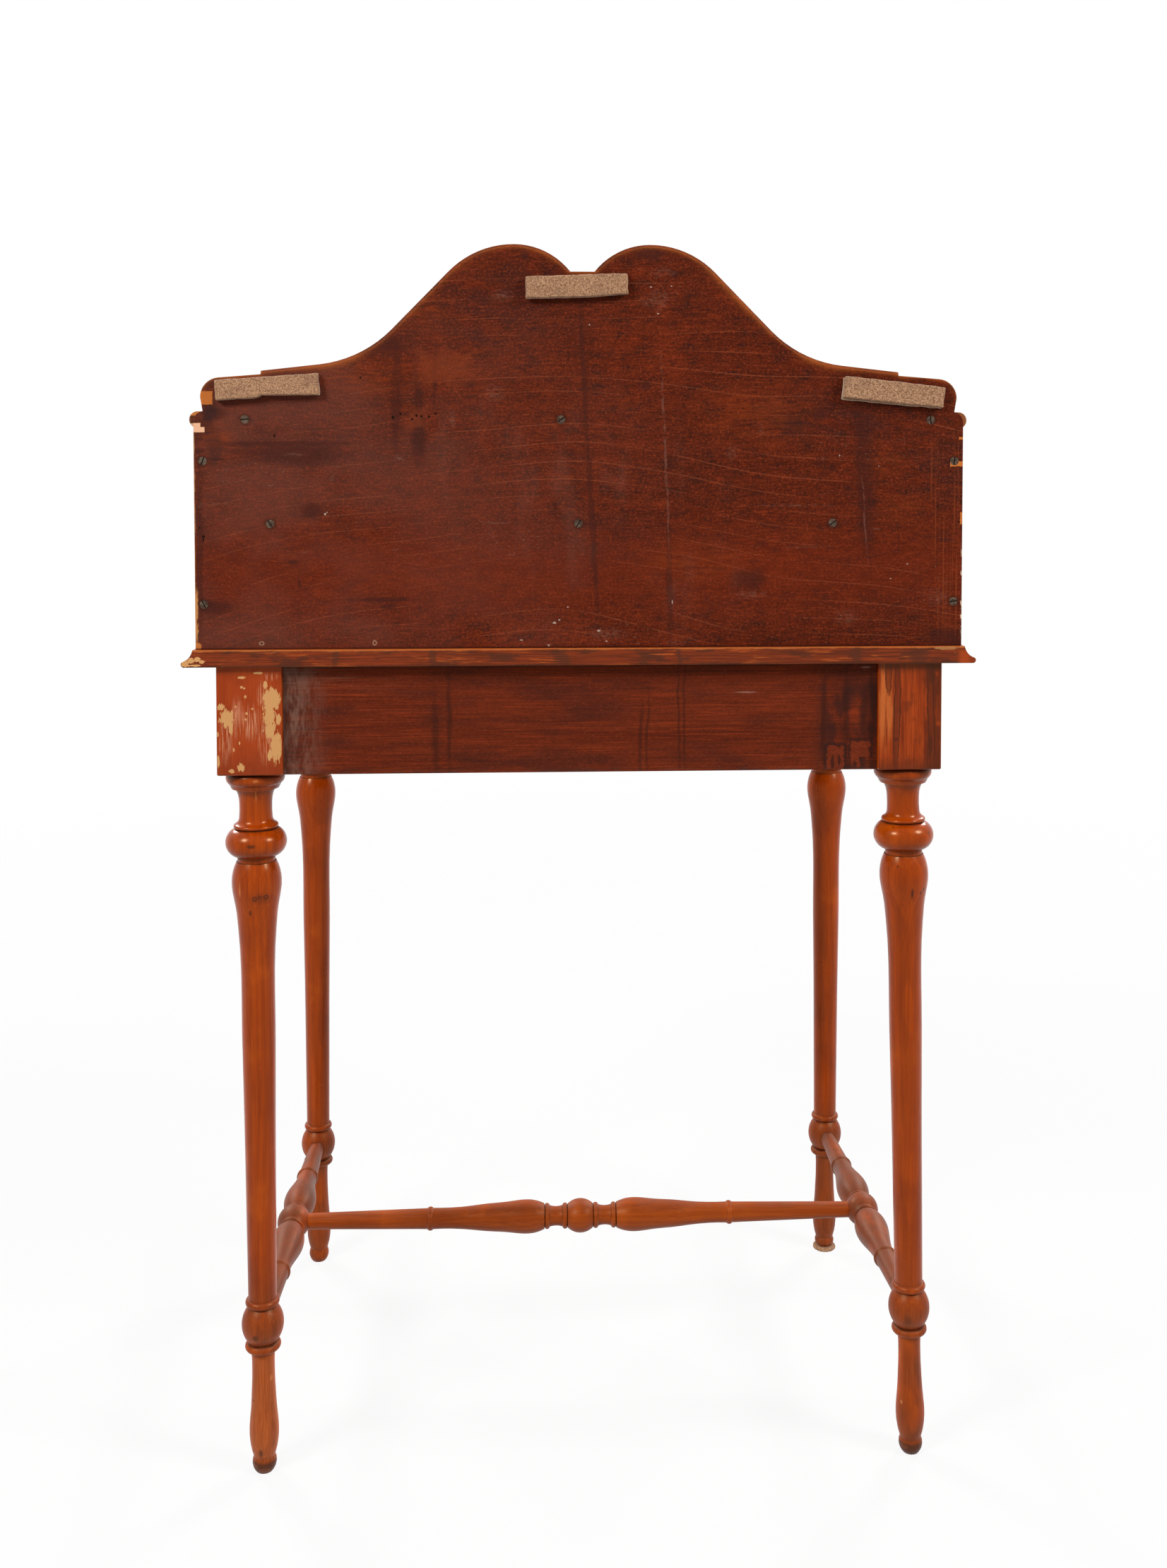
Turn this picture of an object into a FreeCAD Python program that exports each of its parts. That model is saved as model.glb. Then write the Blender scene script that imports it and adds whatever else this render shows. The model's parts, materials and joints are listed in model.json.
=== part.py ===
import FreeCAD, Part
import math
import os

# Lady's writing desk with a raised back cabinet, on four turned legs joined by an H stretcher.
# Millimetres. +X is the sitter's right, +Y runs from the sitter to the back, +Z is up.
# The origin is on the floor, at the middle of the outer box.

V = FreeCAD.Vector

# Desk top
writing_height = 750.0
top_width = 698.0
top_depth = 475.0
top_thickness = 15.0
top_overhang = 29.0
top_rear_overhang = 5.0
edge_run = 10.0
edge_lip_height = 5.2
edge_hollow_sag = 1.5
leather_thickness = 1.2
leather_margin = 46.0
leather_rear_margin = 24.0

# Leg block and frieze
leg_block = 57.0
block_round = 1.6
frieze_height = 96.0
rail_thickness = 20.0
rail_setback = 5.0
tenon_thickness = 8.0
tenon_length = 22.0
tenon_shoulder = 12.0
front_setback = 3.0
upper_rail_thickness = 14.0
upper_rail_depth = 40.0
dovetail_length = 14.0
dovetail_root = 18.0
dovetail_end = 25.0
lower_rail_thickness = 18.0
lower_rail_depth = 45.0
lower_tenon_thickness = 9.0
lower_tenon_width = 30.0

# Stance of the settled old frame: how far along X a rear foot stands from plumb
rear_right_stance = -3.0
rear_left_stance = -12.0

# Turned leg, from the floor up
peg_height = 14.0
peg_foot_diameter = 15.0
peg_diameter = 21.5
peg_neck_diameter = 19.0
club_height = 98.5
club_diameter = 26.2
club_waist_diameter = 20.0
club_shares = ((0.12, 0.74), (0.25, 1.0), (0.42, 0.58), (0.60, 0.24), (0.80, 0.02), (1.0, 0.20))
ankle_ring_height = 7.0
ankle_ring_diameter = 32.0
ankle_root_diameter = 25.0
ankle_ball_height = 33.0
ankle_ball_diameter = 37.5
shin_ring_height = 7.0
shin_ring_diameter = 30.5
shaft_foot_diameter = 25.2
shaft_shares = ((0.25, 0.18), (0.53, 0.40), (0.77, 0.65), (1.0, 1.0))
vase_height = 71.5
vase_foot_diameter = 32.0
vase_diameter = 44.0
vase_shares = ((0.22, 0.20), (0.40, 0.42), (0.53, 0.70), (0.72, 1.0), (0.93, 0.62), (1.0, 0.27))
neck_height = 4.5
neck_diameter = 33.5
bulb_height = 25.5
bulb_diameter = 54.0
lip_height = 3.5
lip_root_diameter = 36.0
lip_diameter = 39.5
throat_height = 32.5
throat_diameter = 28.8
throat_mouth_diameter = 38.0
throat_shares = ((0.095, 0.25), (0.30, 0.0), (0.54, 0.0), (0.69, 0.06), (0.91, 0.45), (1.0, 0.80))
collar_fillet_height = 4.0
collar_fillet_diameter = 42.0
collar_root_diameter = 46.0
collar_height = 11.5
collar_diameter = 52.0

# Stretchers
stretcher_end_diameter = 15.5
stretcher_end_depth = 12.0
stretcher_clearance = 0.1
stretcher_ball_length = 26.0
stretcher_ball_diameter = 33.0
stretcher_ball_root_diameter = 23.0
stretcher_ring_length = 5.5
stretcher_ring_diameter = 25.0
stretcher_ring_root_diameter = 20.5
stretcher_vase_diameter = 32.5
stretcher_vase_start_diameter = 24.5
stretcher_waist_diameter = 20.0
stretcher_vase_shares = ((0.14, 1.0), (0.34, 0.72), (0.50, 0.52), (0.72, 0.13), (0.91, 0.0), (1.0, 0.02))
stretcher_end_ring_length = 6.0
stretcher_end_ring_diameter = 23.0
cross_spool_length = 13.0
cross_spool_diameter = 18.5
cross_vase_length = 114.0
side_vase_length = 80.0
side_vase_shares = ((0.14, 0.72), (0.33, 1.0), (0.52, 0.72), (0.70, 0.32), (0.88, 0.04), (1.0, 0.02))

# Frieze drawer and what carries it
runner_lip = 16.0
guide_height = 22.0
glue_block_size = 18.0
glue_block_length = 45.0
glue_block_shares = (-0.62, 0.0, 0.62)
stop_length = 34.0
stop_depth = 14.0
stop_height = 5.0
stop_offset_share = 0.55
drawer_rear_gap = 6.0
drawer_side_gap = 0.8
drawer_running_gap = 0.3
drawer_top_gap = 1.0
drawer_front_thickness = 18.0
drawer_front_round = 2.5
drawer_side_thickness = 9.0
drawer_back_thickness = 9.0
drawer_bottom_thickness = 5.0
drawer_bottom_height = 8.0
drawer_groove_depth = 4.0
drawer_back_drop = 4.0
drawer_front_lap = 5.0
drawer_tail_slope = 2.0
drawer_tail_shares = ((0.16, 0.36), (0.46, 0.66), (0.76, 0.94))
knob_diameter = 27.0
knob_length = 24.0
knob_neck_diameter = 14.0
knob_flange_diameter = 18.0
knob_spigot_diameter = 9.0
knob_clearance = 0.1
knob_offset_share = 0.58
knob_flange_share = 0.125
knob_hollow_share = 0.25
knob_swell_share = 0.33
knob_shoulder_share = 0.92
knob_tip_share = 0.17

# Raised cabinet
cabinet_inset = 12.0
cabinet_depth = 190.0
cabinet_height = 193.0
cabinet_top_thickness = 14.5
cabinet_nosing = 6.0
cabinet_front_nosing = 8.0
end_thickness = 15.0
housing_depth = 5.0
shelf_height = 104.0
shelf_thickness = 11.0
floor_thickness = 9.0
divider_thickness = 9.0
divider_groove = 3.0
centre_bay_width = 246.0
dowel_diameter = 6.0
dowel_top_depth = 9.0
dowel_end_depth = 15.0
dowel_clearance = 0.1
dowel_shares = (0.25, 0.75)

# Small cabinet drawers
small_front_thickness = 14.0
small_front_round = 2.0
small_side_thickness = 7.0
small_back_thickness = 7.0
small_bottom_thickness = 4.0
small_bottom_height = 6.0
small_groove_depth = 3.0
small_back_drop = 4.0
small_front_lap = 4.0
small_tail_slope = 2.0
small_rear_gap = 1.0
small_knob_diameter = 20.0
small_knob_length = 18.0
small_knob_neck_diameter = 10.0
small_knob_flange_diameter = 13.0
small_knob_spigot_diameter = 7.0

# Shaped back board
back_board_thickness = 11.5
back_board_height = 353.0
notch_width = 20.8
notch_depth = 23.8
hump_offset = 59.5
hump_outer_radius = 80.0
slope_angle = 45.5
hollow_radius = 105.0
hollow_drop = 104.9
ledge_angle = 6.4
step_inset = 58.0
step_height = 3.2
shoulder_inset = 6.0
shoulder_angle = 4.5
shoulder_radius = 17.0
neck_inset = 8.0
board_corner_radius = 9.5
crest_chamfer = 2.2
crest_room_share = 0.9

# Wood screws, placed by eye as on the old desk
screw_head_diameter = 7.4
screw_head_height = 2.4
screw_shank_diameter = 3.6
screw_length = 30.0
screw_slot_width = 1.1
screw_slot_depth = 1.1
screw_clearance = 0.1
top_row_shares = ((0.869, 4.0), (0.056, 40.0), (-0.914, 95.0))
shelf_row_shares = ((0.807, 125.0), (0.011, 60.0), (-0.656, 35.0))
end_row_shares = ((0.205, 8.0, 118.0), (0.850, 82.0, 70.0))
fixing_screw_length = 21.0
fixing_screw_shares = ((-0.55, 0.2), (-0.55, 0.8), (0.55, 0.2), (0.55, 0.8))

# Felt: three wall pads on the back board and one packing disc under a foot
pad_thickness = 7.0
pad_length = 90.0
pad_height = 20.0
pad_corner_radius = 1.5
left_pad_inset = 62.5
left_pad_drop = 128.5
left_pad_tilt = -6.5
centre_pad_offset = 5.0
centre_pad_drop = 36.5
centre_pad_tilt = 2.0
right_pad_inset = 64.0
right_pad_drop = 125.5
right_pad_tilt = 4.0
foot_disc_diameter = 26.0
foot_disc_thickness = 4.0

# Cuts run past the faces that they open, and edges are told apart by their places
overrun = 2.0
matching_tolerance = 0.01

# Planes and levels that the pieces share
rear_reach = max(top_rear_overhang, pad_thickness)
outer_depth = top_depth - top_rear_overhang + rear_reach
back_face = outer_depth / 2 - rear_reach
top_rear = back_face + top_rear_overhang
top_front = top_rear - top_depth
frame_front = top_front + top_overhang
frame_side = top_width / 2 - top_overhang
leg_x = frame_side - leg_block / 2
leg_y_rear = back_face - leg_block / 2
leg_y_front = frame_front + leg_block / 2
top_under = writing_height - top_thickness
block_foot = top_under - frieze_height
block_inner_x = leg_x - leg_block / 2
block_inner_front = leg_y_front + leg_block / 2
block_inner_rear = leg_y_rear - leg_block / 2
rail_outer_x = frame_side - rail_setback
rail_inner_x = rail_outer_x - rail_thickness
rear_rail_outer = back_face - rail_setback
rear_rail_inner = rear_rail_outer - rail_thickness
front_plane = frame_front + front_setback
stretcher_height = peg_height + club_height + ankle_ring_height + ankle_ball_height / 2
opening_floor = block_foot + lower_rail_thickness
opening_head = top_under - upper_rail_thickness
board_front = back_face - back_board_thickness
cabinet_front = board_front - cabinet_depth
cabinet_side = top_width / 2 - cabinet_inset
end_inner_x = cabinet_side - end_thickness
cabinet_head = writing_height + cabinet_height
cabinet_crown = cabinet_head + cabinet_top_thickness
floor_face = writing_height + floor_thickness
shelf_under = writing_height + shelf_height
shelf_face = shelf_under + shelf_thickness
bay_x = centre_bay_width / 2
divider_outer_x = bay_x + divider_thickness
crest = writing_height + back_board_height


def line(start, end):
    return Part.LineSegment(start, end).toShape()


def arc(start, middle, end):
    return Part.Arc(start, middle, end).toShape()


def box(x0, x1, y0, y1, z0, z1):
    """Block between two corners, given in any order."""
    low = V(min(x0, x1), min(y0, y1), min(z0, z1))
    return Part.makeBox(abs(x1 - x0), abs(y1 - y0), abs(z1 - z0), low)


def face(edges):
    return Part.Face(Part.Wire(Part.__sortEdges__(edges)))


def prism(points, run):
    """Polygon pushed along a vector."""
    return Part.Face(Part.makePolygon(points + points[:1])).extrude(run)


def rod(diameter, start, direction, length):
    return Part.makeCylinder(diameter / 2, length, start, direction)


def joined(pieces):
    """One solid from pieces that touch or overlap."""
    return pieces[0].fuse(pieces[1:]).removeSplitter()


class Turning:
    """Half outline of a turned piece, drawn up its axis and spun round it."""

    def __init__(self, start, diameter):
        self.height = start
        self.radius = diameter / 2
        self.edges = [line(V(0, 0, start), V(self.radius, 0, start))]

    def point(self, length, diameter):
        return V(diameter / 2, 0, self.height + length)

    def close_run(self, edge, length, diameter):
        self.edges.append(edge)
        self.height += length
        self.radius = diameter / 2

    def taper(self, length, diameter):
        edge = line(self.point(0, 2 * self.radius), self.point(length, diameter))
        self.close_run(edge, length, diameter)

    def shoulder(self, diameter):
        self.taper(0, diameter)

    def bead(self, length, crown, diameter):
        """Arc over a crown half way along, or into a hollow where the crown is narrower."""
        start = self.point(0, 2 * self.radius)
        edge = arc(start, self.point(length / 2, crown), self.point(length, diameter))
        self.close_run(edge, length, diameter)

    def dome(self, length, diameter):
        """Arc that leaves the start parallel to the axis."""
        drop = self.radius - diameter / 2
        radius = (length ** 2 + drop ** 2) / (2 * drop)
        half = math.asin(length / radius) / 2
        middle = V(self.radius - radius * (1 - math.cos(half)), 0, self.height + radius * math.sin(half))
        edge = arc(self.point(0, 2 * self.radius), middle, self.point(length, diameter))
        self.close_run(edge, length, diameter)

    def swell(self, points):
        """Smooth curve through points given as length from here and diameter."""
        curve = Part.BSplineCurve()
        ends = [self.point(0, 2 * self.radius)] + [self.point(run, width) for run, width in points]
        curve.interpolate(ends)
        self.close_run(curve.toShape(), points[-1][0], points[-1][1])

    def solid(self):
        self.edges.append(line(V(self.radius, 0, self.height), V(0, 0, self.height)))
        self.edges.append(line(V(0, 0, self.height), self.edges[0].firstVertex().Point))
        return face(self.edges).revolve(V(0, 0, 0), V(0, 0, 1), 360)


def between(low, high, shares, length):
    """Points of a curve: shares of its length, and of the way from the low to the high diameter."""
    return [(along * length, low + across * (high - low)) for along, across in shares]


def stance(sx, sy):
    """How far a leg's foot stands from plumb."""
    if sy < 0:
        return 0
    return rear_right_stance if sx > 0 else rear_left_stance


def ankle(sx, sy):
    """Middle of a leg's ankle ball, where its side stretcher enters."""
    shift = stance(sx, sy) * (block_foot - stretcher_height) / block_foot
    return V(sx * leg_x + shift, leg_y_rear if sy > 0 else leg_y_front, stretcher_height)


def stretcher_middle_point(sx):
    """Middle of a side stretcher, where the cross stretcher enters."""
    return (ankle(sx, -1) + ankle(sx, 1)) / 2


def leg_block_solid(x, y):
    """Square block at the head of a leg, eased on its arrises but not against the top."""
    half = leg_block / 2
    block = box(x - half, x + half, y - half, y + half, block_foot, top_under)
    eased = [edge for edge in block.Edges if edge.CenterOfMass.z < top_under - matching_tolerance]
    return block.makeFillet(block_round, eased)


def leg_turning(foot):
    """Turned leg from below its foot up into the block."""
    turned = peg_height + club_height + ankle_ring_height + ankle_ball_height + shin_ring_height
    upper = vase_height + neck_height + bulb_height + lip_height + throat_height
    upper += collar_fillet_height + collar_height
    shaft_height = block_foot - turned - upper

    outline = Turning(foot - overrun, peg_foot_diameter)
    outline.taper(overrun, peg_foot_diameter)
    outline.bead(peg_height - foot, peg_diameter, peg_neck_diameter)
    outline.swell(between(club_waist_diameter, club_diameter, club_shares, club_height))
    outline.bead(ankle_ring_height, ankle_ring_diameter, ankle_root_diameter)
    outline.bead(ankle_ball_height, ankle_ball_diameter, ankle_root_diameter)
    outline.bead(shin_ring_height, shin_ring_diameter, shaft_foot_diameter)
    shaft = between(shaft_foot_diameter, vase_foot_diameter, shaft_shares, shaft_height)
    vase = between(vase_foot_diameter, vase_diameter, vase_shares, vase_height)
    outline.swell(shaft + [(shaft_height + run, width) for run, width in vase])
    outline.shoulder(neck_diameter)
    outline.taper(neck_height, neck_diameter)
    outline.bead(bulb_height, bulb_diameter, lip_root_diameter)
    outline.bead(lip_height, lip_diameter, throat_mouth_diameter)
    outline.swell(between(throat_diameter, throat_mouth_diameter, throat_shares, throat_height))
    outline.shoulder(collar_fillet_diameter)
    outline.taper(collar_fillet_height, collar_root_diameter)
    outline.bead(collar_height, collar_diameter, collar_root_diameter)
    outline.taper(overrun, collar_root_diameter)
    return outline.solid()


def leg(sx, sy, foot, rails):
    """Leg with its square block, mortised for the rails and bored for the side stretcher."""
    y = leg_y_rear if sy > 0 else leg_y_front
    turned = leg_turning(foot)
    lean = math.degrees(math.asin(stance(sx, sy) / block_foot))
    turned.rotate(V(0, 0, block_foot), V(0, 1, 0), -lean)
    turned.translate(V(sx * leg_x, y, 0))
    below = box(sx * leg_x - leg_block, sx * leg_x + leg_block, y - leg_block, y + leg_block,
                foot - 2 * overrun, foot)
    inwards = (ankle(sx, -sy) - ankle(sx, sy)).normalize()
    mouth = ankle(sx, sy) + inwards * (ankle_ball_diameter / 2 + overrun)
    bore = rod(stretcher_end_diameter + 2 * stretcher_clearance, mouth, inwards * -1,
               stretcher_end_depth + stretcher_clearance + overrun)
    return joined([leg_block_solid(sx * leg_x, y), turned]).cut(rails + [bore, below])


def side_rail(sx):
    """Side of the frieze, tenoned into the front and rear leg blocks."""
    board = box(sx * rail_inner_x, sx * rail_outer_x, block_inner_front, block_inner_rear,
                block_foot, top_under)
    middle = sx * (rail_inner_x + rail_outer_x) / 2
    tenon = box(middle - tenon_thickness / 2, middle + tenon_thickness / 2,
                block_inner_front - tenon_length, block_inner_rear + tenon_length,
                block_foot + tenon_shoulder, top_under - tenon_shoulder)
    return joined([board, tenon])


def rear_rail():
    """Back of the frieze, tenoned into the rear leg blocks."""
    board = box(-block_inner_x, block_inner_x, rear_rail_inner, rear_rail_outer, block_foot, top_under)
    middle = (rear_rail_inner + rear_rail_outer) / 2
    tenon = box(-block_inner_x - tenon_length, block_inner_x + tenon_length,
                middle - tenon_thickness / 2, middle + tenon_thickness / 2,
                block_foot + tenon_shoulder, top_under - tenon_shoulder)
    return joined([board, tenon])


def front_upper_rail():
    """Thin rail over the drawer, dovetailed into the tops of the front legs."""
    board = box(-block_inner_x, block_inner_x, front_plane, front_plane + upper_rail_depth,
                opening_head, top_under)
    middle = front_plane + upper_rail_depth / 2
    pieces = [board]
    for sx in (-1, 1):
        root = sx * block_inner_x
        tip = sx * (block_inner_x + dovetail_length)
        tail = [V(root, middle - dovetail_root / 2, opening_head),
                V(tip, middle - dovetail_end / 2, opening_head),
                V(tip, middle + dovetail_end / 2, opening_head),
                V(root, middle + dovetail_root / 2, opening_head)]
        pieces.append(prism(tail, V(0, 0, upper_rail_thickness)))
    return joined(pieces)


def front_lower_rail():
    """Rail under the drawer, tenoned into the front legs."""
    board = box(-block_inner_x, block_inner_x, front_plane, front_plane + lower_rail_depth,
                block_foot, opening_floor)
    middle_y = front_plane + lower_rail_depth / 2
    middle_z = (block_foot + opening_floor) / 2
    tenon = box(-block_inner_x - tenon_length, block_inner_x + tenon_length,
                middle_y - lower_tenon_width / 2, middle_y + lower_tenon_width / 2,
                middle_z - lower_tenon_thickness / 2, middle_z + lower_tenon_thickness / 2)
    return joined([board, tenon])


def stretcher_middle():
    """Outline of half the middle ball and the ring beside it."""
    outline = Turning(0, stretcher_ball_diameter)
    outline.dome(stretcher_ball_length / 2, stretcher_ball_root_diameter)
    outline.shoulder(stretcher_ring_root_diameter)
    outline.bead(stretcher_ring_length, stretcher_ring_diameter, stretcher_ring_root_diameter)
    return outline


def stretcher_end(outline, surface, depth):
    """Outer ring, tapered shaft up to the socket, and the round end that enters it."""
    outline.bead(stretcher_end_ring_length, stretcher_end_ring_diameter, stretcher_waist_diameter)
    outline.taper(surface - outline.height, stretcher_end_diameter)
    outline.taper(depth, stretcher_end_diameter)


def mirrored_pair(half):
    """Whole turned stretcher from its upper half."""
    return joined([half, half.mirror(V(0, 0, 0), V(0, 0, 1))])


def side_stretcher(sx, cross_bore):
    """Front-to-back stretcher, bored at its middle ball for the cross stretcher."""
    run = ankle(sx, 1) - ankle(sx, -1)
    outline = stretcher_middle()
    outline.swell(between(stretcher_waist_diameter, stretcher_vase_diameter, side_vase_shares,
                          side_vase_length))
    stretcher_end(outline, run.Length / 2 - ankle_ball_diameter / 2, stretcher_end_depth)
    whole = mirrored_pair(outline.solid())
    whole.rotate(V(0, 0, 0), V(1, 0, 0), -90)
    whole.rotate(V(0, 0, 0), V(0, 0, 1), math.degrees(math.atan2(-run.x, run.y)))
    whole.translate(stretcher_middle_point(sx))
    return whole.cut(cross_bore)


def cross_stretcher():
    """Left-to-right stretcher with a spool each side of its middle ball."""
    outline = stretcher_middle()
    outline.bead(cross_spool_length, cross_spool_diameter, stretcher_ring_root_diameter)
    outline.bead(stretcher_ring_length, stretcher_ring_diameter, stretcher_ring_root_diameter)
    outline.shoulder(stretcher_vase_start_diameter)
    outline.swell(between(stretcher_waist_diameter, stretcher_vase_diameter, stretcher_vase_shares,
                          cross_vase_length))
    left = stretcher_middle_point(-1)
    right = stretcher_middle_point(1)
    stretcher_end(outline, (right.x - left.x) / 2 - stretcher_ball_diameter / 2, stretcher_end_depth)
    whole = mirrored_pair(outline.solid())
    whole.rotate(V(0, 0, 0), V(0, 1, 0), 90)
    whole.translate((left + right) / 2)
    return whole


def cross_bore():
    """Bores for the cross stretcher's two round ends."""
    depth = V(stretcher_end_depth + stretcher_clearance - stretcher_ball_diameter / 2, 0, 0)
    left = stretcher_middle_point(-1) - depth
    right = stretcher_middle_point(1) + depth
    return rod(stretcher_end_diameter + 2 * stretcher_clearance, left, V(1, 0, 0), (right - left).Length)


def moulded_edge(sign, flat, side_axis):
    """Edges of the hollow moulding and its rounded lip, outwards and down from the flat face."""
    def at(out, down):
        return side_axis * (sign * (flat + out)) + V(0, 0, writing_height - down)

    lip = edge_lip_height / 2
    hollow_out = edge_run - lip
    hollow_down = top_thickness - edge_lip_height
    length = math.hypot(hollow_out, hollow_down)
    middle = at(hollow_out / 2 - edge_hollow_sag * hollow_down / length,
                hollow_down / 2 + edge_hollow_sag * hollow_out / length)
    hollow = arc(at(0, 0), middle, at(hollow_out, hollow_down))
    nose = arc(at(hollow_out, hollow_down), at(edge_run, top_thickness - lip), at(hollow_out, top_thickness))
    return [hollow, nose], at(0, 0), at(hollow_out, top_thickness)


def desk_top(leather, screws):
    """Top with a hollow-moulded edge at the front and sides and a square rear edge."""
    across = V(1, 0, 0)
    right, right_face, right_foot = moulded_edge(1, top_width / 2 - edge_run, across)
    left, left_face, left_foot = moulded_edge(-1, top_width / 2 - edge_run, across)
    lengthwise = face(right + left + [line(left_face, right_face), line(left_foot, right_foot)])
    lengthwise.translate(V(0, top_front, 0))
    front, front_face, front_foot = moulded_edge(-1, -top_front - edge_run, V(0, 1, 0))
    rear_face = V(0, top_rear, writing_height)
    rear_foot = V(0, top_rear, top_under)
    crosswise = face(front + [line(front_face, rear_face), line(rear_face, rear_foot),
                              line(rear_foot, front_foot)])
    crosswise.translate(V(-top_width / 2, 0, 0))
    slab = lengthwise.extrude(V(0, top_depth, 0)).common(crosswise.extrude(V(top_width, 0, 0)))
    return slab.cut([leather] + screws)


def writing_leather():
    """Leather panel let into the top, in front of the cabinet."""
    side = top_width / 2 - edge_run - leather_margin
    return box(-side, side, top_front + edge_run + leather_margin, cabinet_front - leather_rear_margin,
               writing_height - leather_thickness, writing_height)


def notched_strip(sx, front, z0, z1):
    """Strip along a side rail between the leg blocks, with a lip that reaches both cross rails."""
    body = box(sx * block_inner_x, sx * rail_inner_x, block_inner_front, block_inner_rear, z0, z1)
    lip = box(sx * (block_inner_x - runner_lip), sx * block_inner_x, front, rear_rail_inner, z0, z1)
    return joined([body, lip])


def frieze_guide(sx):
    """Strip on the runner that keeps the drawer straight."""
    return box(sx * block_inner_x, sx * rail_inner_x, block_inner_front, block_inner_rear,
               opening_floor, opening_floor + guide_height)


def drawer_stops():
    """Two small blocks on the lower rail that meet the back of the drawer front."""
    near = front_plane + drawer_front_thickness
    centre = stop_offset_share * block_inner_x
    stops = [box(sx * centre - stop_length / 2, sx * centre + stop_length / 2, near, near + stop_depth,
                 opening_floor, opening_floor + stop_height) for sx in (-1, 1)]
    return Part.makeCompound(stops)


def glue_blocks():
    """Three-sided blocks glued in the corner under the top, along the rear rail."""
    blocks = []
    for share in glue_block_shares:
        x = share * block_inner_x - glue_block_length / 2
        corner = [V(x, rear_rail_inner, top_under), V(x, rear_rail_inner - glue_block_size, top_under),
                  V(x, rear_rail_inner, top_under - glue_block_size)]
        blocks.append(prism(corner, V(glue_block_length, 0, 0)))
    return Part.makeCompound(blocks)


def turned_knob(diameter, length, neck, flange, spigot, depth):
    """Knob along +Z: spigot below zero, then flange, neck and domed head."""
    stem = rod(spigot, V(0, 0, -depth), V(0, 0, 1), depth)
    outline = Turning(0, flange)
    outline.taper(knob_flange_share * length, flange)
    outline.bead(knob_hollow_share * length, neck, neck)
    outline.bead(knob_swell_share * length, diameter, knob_shoulder_share * diameter)
    outline.dome(length - outline.height, knob_tip_share * diameter)
    return joined([stem, outline.solid()])


def drawer(x0, x1, front, rear, z0, z1, sizes, knob_places):
    """Dovetailed drawer with a grooved-in bottom, as a list of its pieces."""
    left = x0 + sizes["side"]
    right = x1 - sizes["side"]
    front_inner = front + sizes["front"]
    rear_inner = rear - sizes["back"]
    height = z1 - z0
    side_head = z1 - sizes["drop"] / 2

    def side(outer, inner):
        pieces = [box(outer, inner, front_inner, rear_inner, z0, side_head)]
        tips = ((front_inner, front + sizes["lap"]), (rear_inner, rear))
        for root, tip in tips:
            for low, high in drawer_tail_shares:
                foot = z0 + low * height
                head = z0 + high * height
                spread = sizes["slope"]
                tail = [V(outer, root, foot + spread), V(outer, tip, foot),
                        V(outer, tip, head), V(outer, root, head - spread)]
                pieces.append(prism(tail, V(inner - outer, 0, 0)))
        return joined(pieces)

    bottom_foot = z0 + sizes["bottom_height"]
    bottom_face = bottom_foot + sizes["bottom"]
    bottom = box(left - sizes["groove"], right + sizes["groove"], front_inner - sizes["groove"], rear,
                 bottom_foot, bottom_face)
    left_side = side(x0, left)
    right_side = side(x1, right)
    back = box(x0, x1, rear_inner, rear, bottom_face, z1 - sizes["drop"]).cut([left_side, right_side])
    left_side = left_side.cut(bottom)
    right_side = right_side.cut(bottom)
    knobs = []
    bores = []
    for x in knob_places:
        spot = V(x, front, (z0 + z1) / 2)
        knob = turned_knob(*sizes["knob"], sizes["front"])
        knob.rotate(V(0, 0, 0), V(1, 0, 0), 90)
        knob.translate(spot)
        knobs.append(knob)
        bore_diameter = sizes["knob"][-1] + 2 * knob_clearance
        bores.append(rod(bore_diameter, spot - V(0, overrun, 0), V(0, 1, 0), sizes["front"] + 2 * overrun))
    front_board = box(x0, x1, front, front_inner, z0, z1)
    face_edges = [edge for edge in front_board.Edges if edge.CenterOfMass.y < front + matching_tolerance]
    front_board = front_board.makeFillet(sizes["round"], face_edges)
    front_board = front_board.cut([left_side, right_side, bottom] + bores)
    return {"front": front_board, "left_side": left_side, "right_side": right_side, "back": back,
            "bottom": bottom, "knobs": Part.makeCompound(knobs) if len(knobs) > 1 else knobs[0]}


def frieze_drawer():
    side = block_inner_x - drawer_side_gap
    sizes = {"front": drawer_front_thickness, "round": drawer_front_round,
             "side": drawer_side_thickness, "back": drawer_back_thickness,
             "bottom": drawer_bottom_thickness, "bottom_height": drawer_bottom_height,
             "groove": drawer_groove_depth, "drop": drawer_back_drop, "lap": drawer_front_lap,
             "slope": drawer_tail_slope,
             "knob": (knob_diameter, knob_length, knob_neck_diameter, knob_flange_diameter,
                      knob_spigot_diameter)}
    rear = rear_rail_inner - glue_block_size - drawer_rear_gap
    offset = knob_offset_share * block_inner_x
    return drawer(-side, side, front_plane, rear, opening_floor + drawer_running_gap,
                  opening_head - drawer_top_gap, sizes, (-offset, offset))


def small_drawer(sx):
    near = sx * (divider_outer_x + drawer_side_gap)
    far = sx * (end_inner_x - drawer_side_gap)
    sizes = {"front": small_front_thickness, "round": small_front_round,
             "side": small_side_thickness, "back": small_back_thickness,
             "bottom": small_bottom_thickness, "bottom_height": small_bottom_height,
             "groove": small_groove_depth, "drop": small_back_drop, "lap": small_front_lap,
             "slope": small_tail_slope,
             "knob": (small_knob_diameter, small_knob_length, small_knob_neck_diameter,
                      small_knob_flange_diameter, small_knob_spigot_diameter)}
    return drawer(min(near, far), max(near, far), cabinet_front, board_front - small_rear_gap,
                  floor_face + drawer_running_gap, shelf_under - drawer_top_gap, sizes, ((near + far) / 2,))


def cabinet_end(sx):
    """Side of the cabinet, before its housings and holes are cut."""
    return box(sx * end_inner_x, sx * cabinet_side, cabinet_front, board_front, writing_height, cabinet_head)


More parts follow.
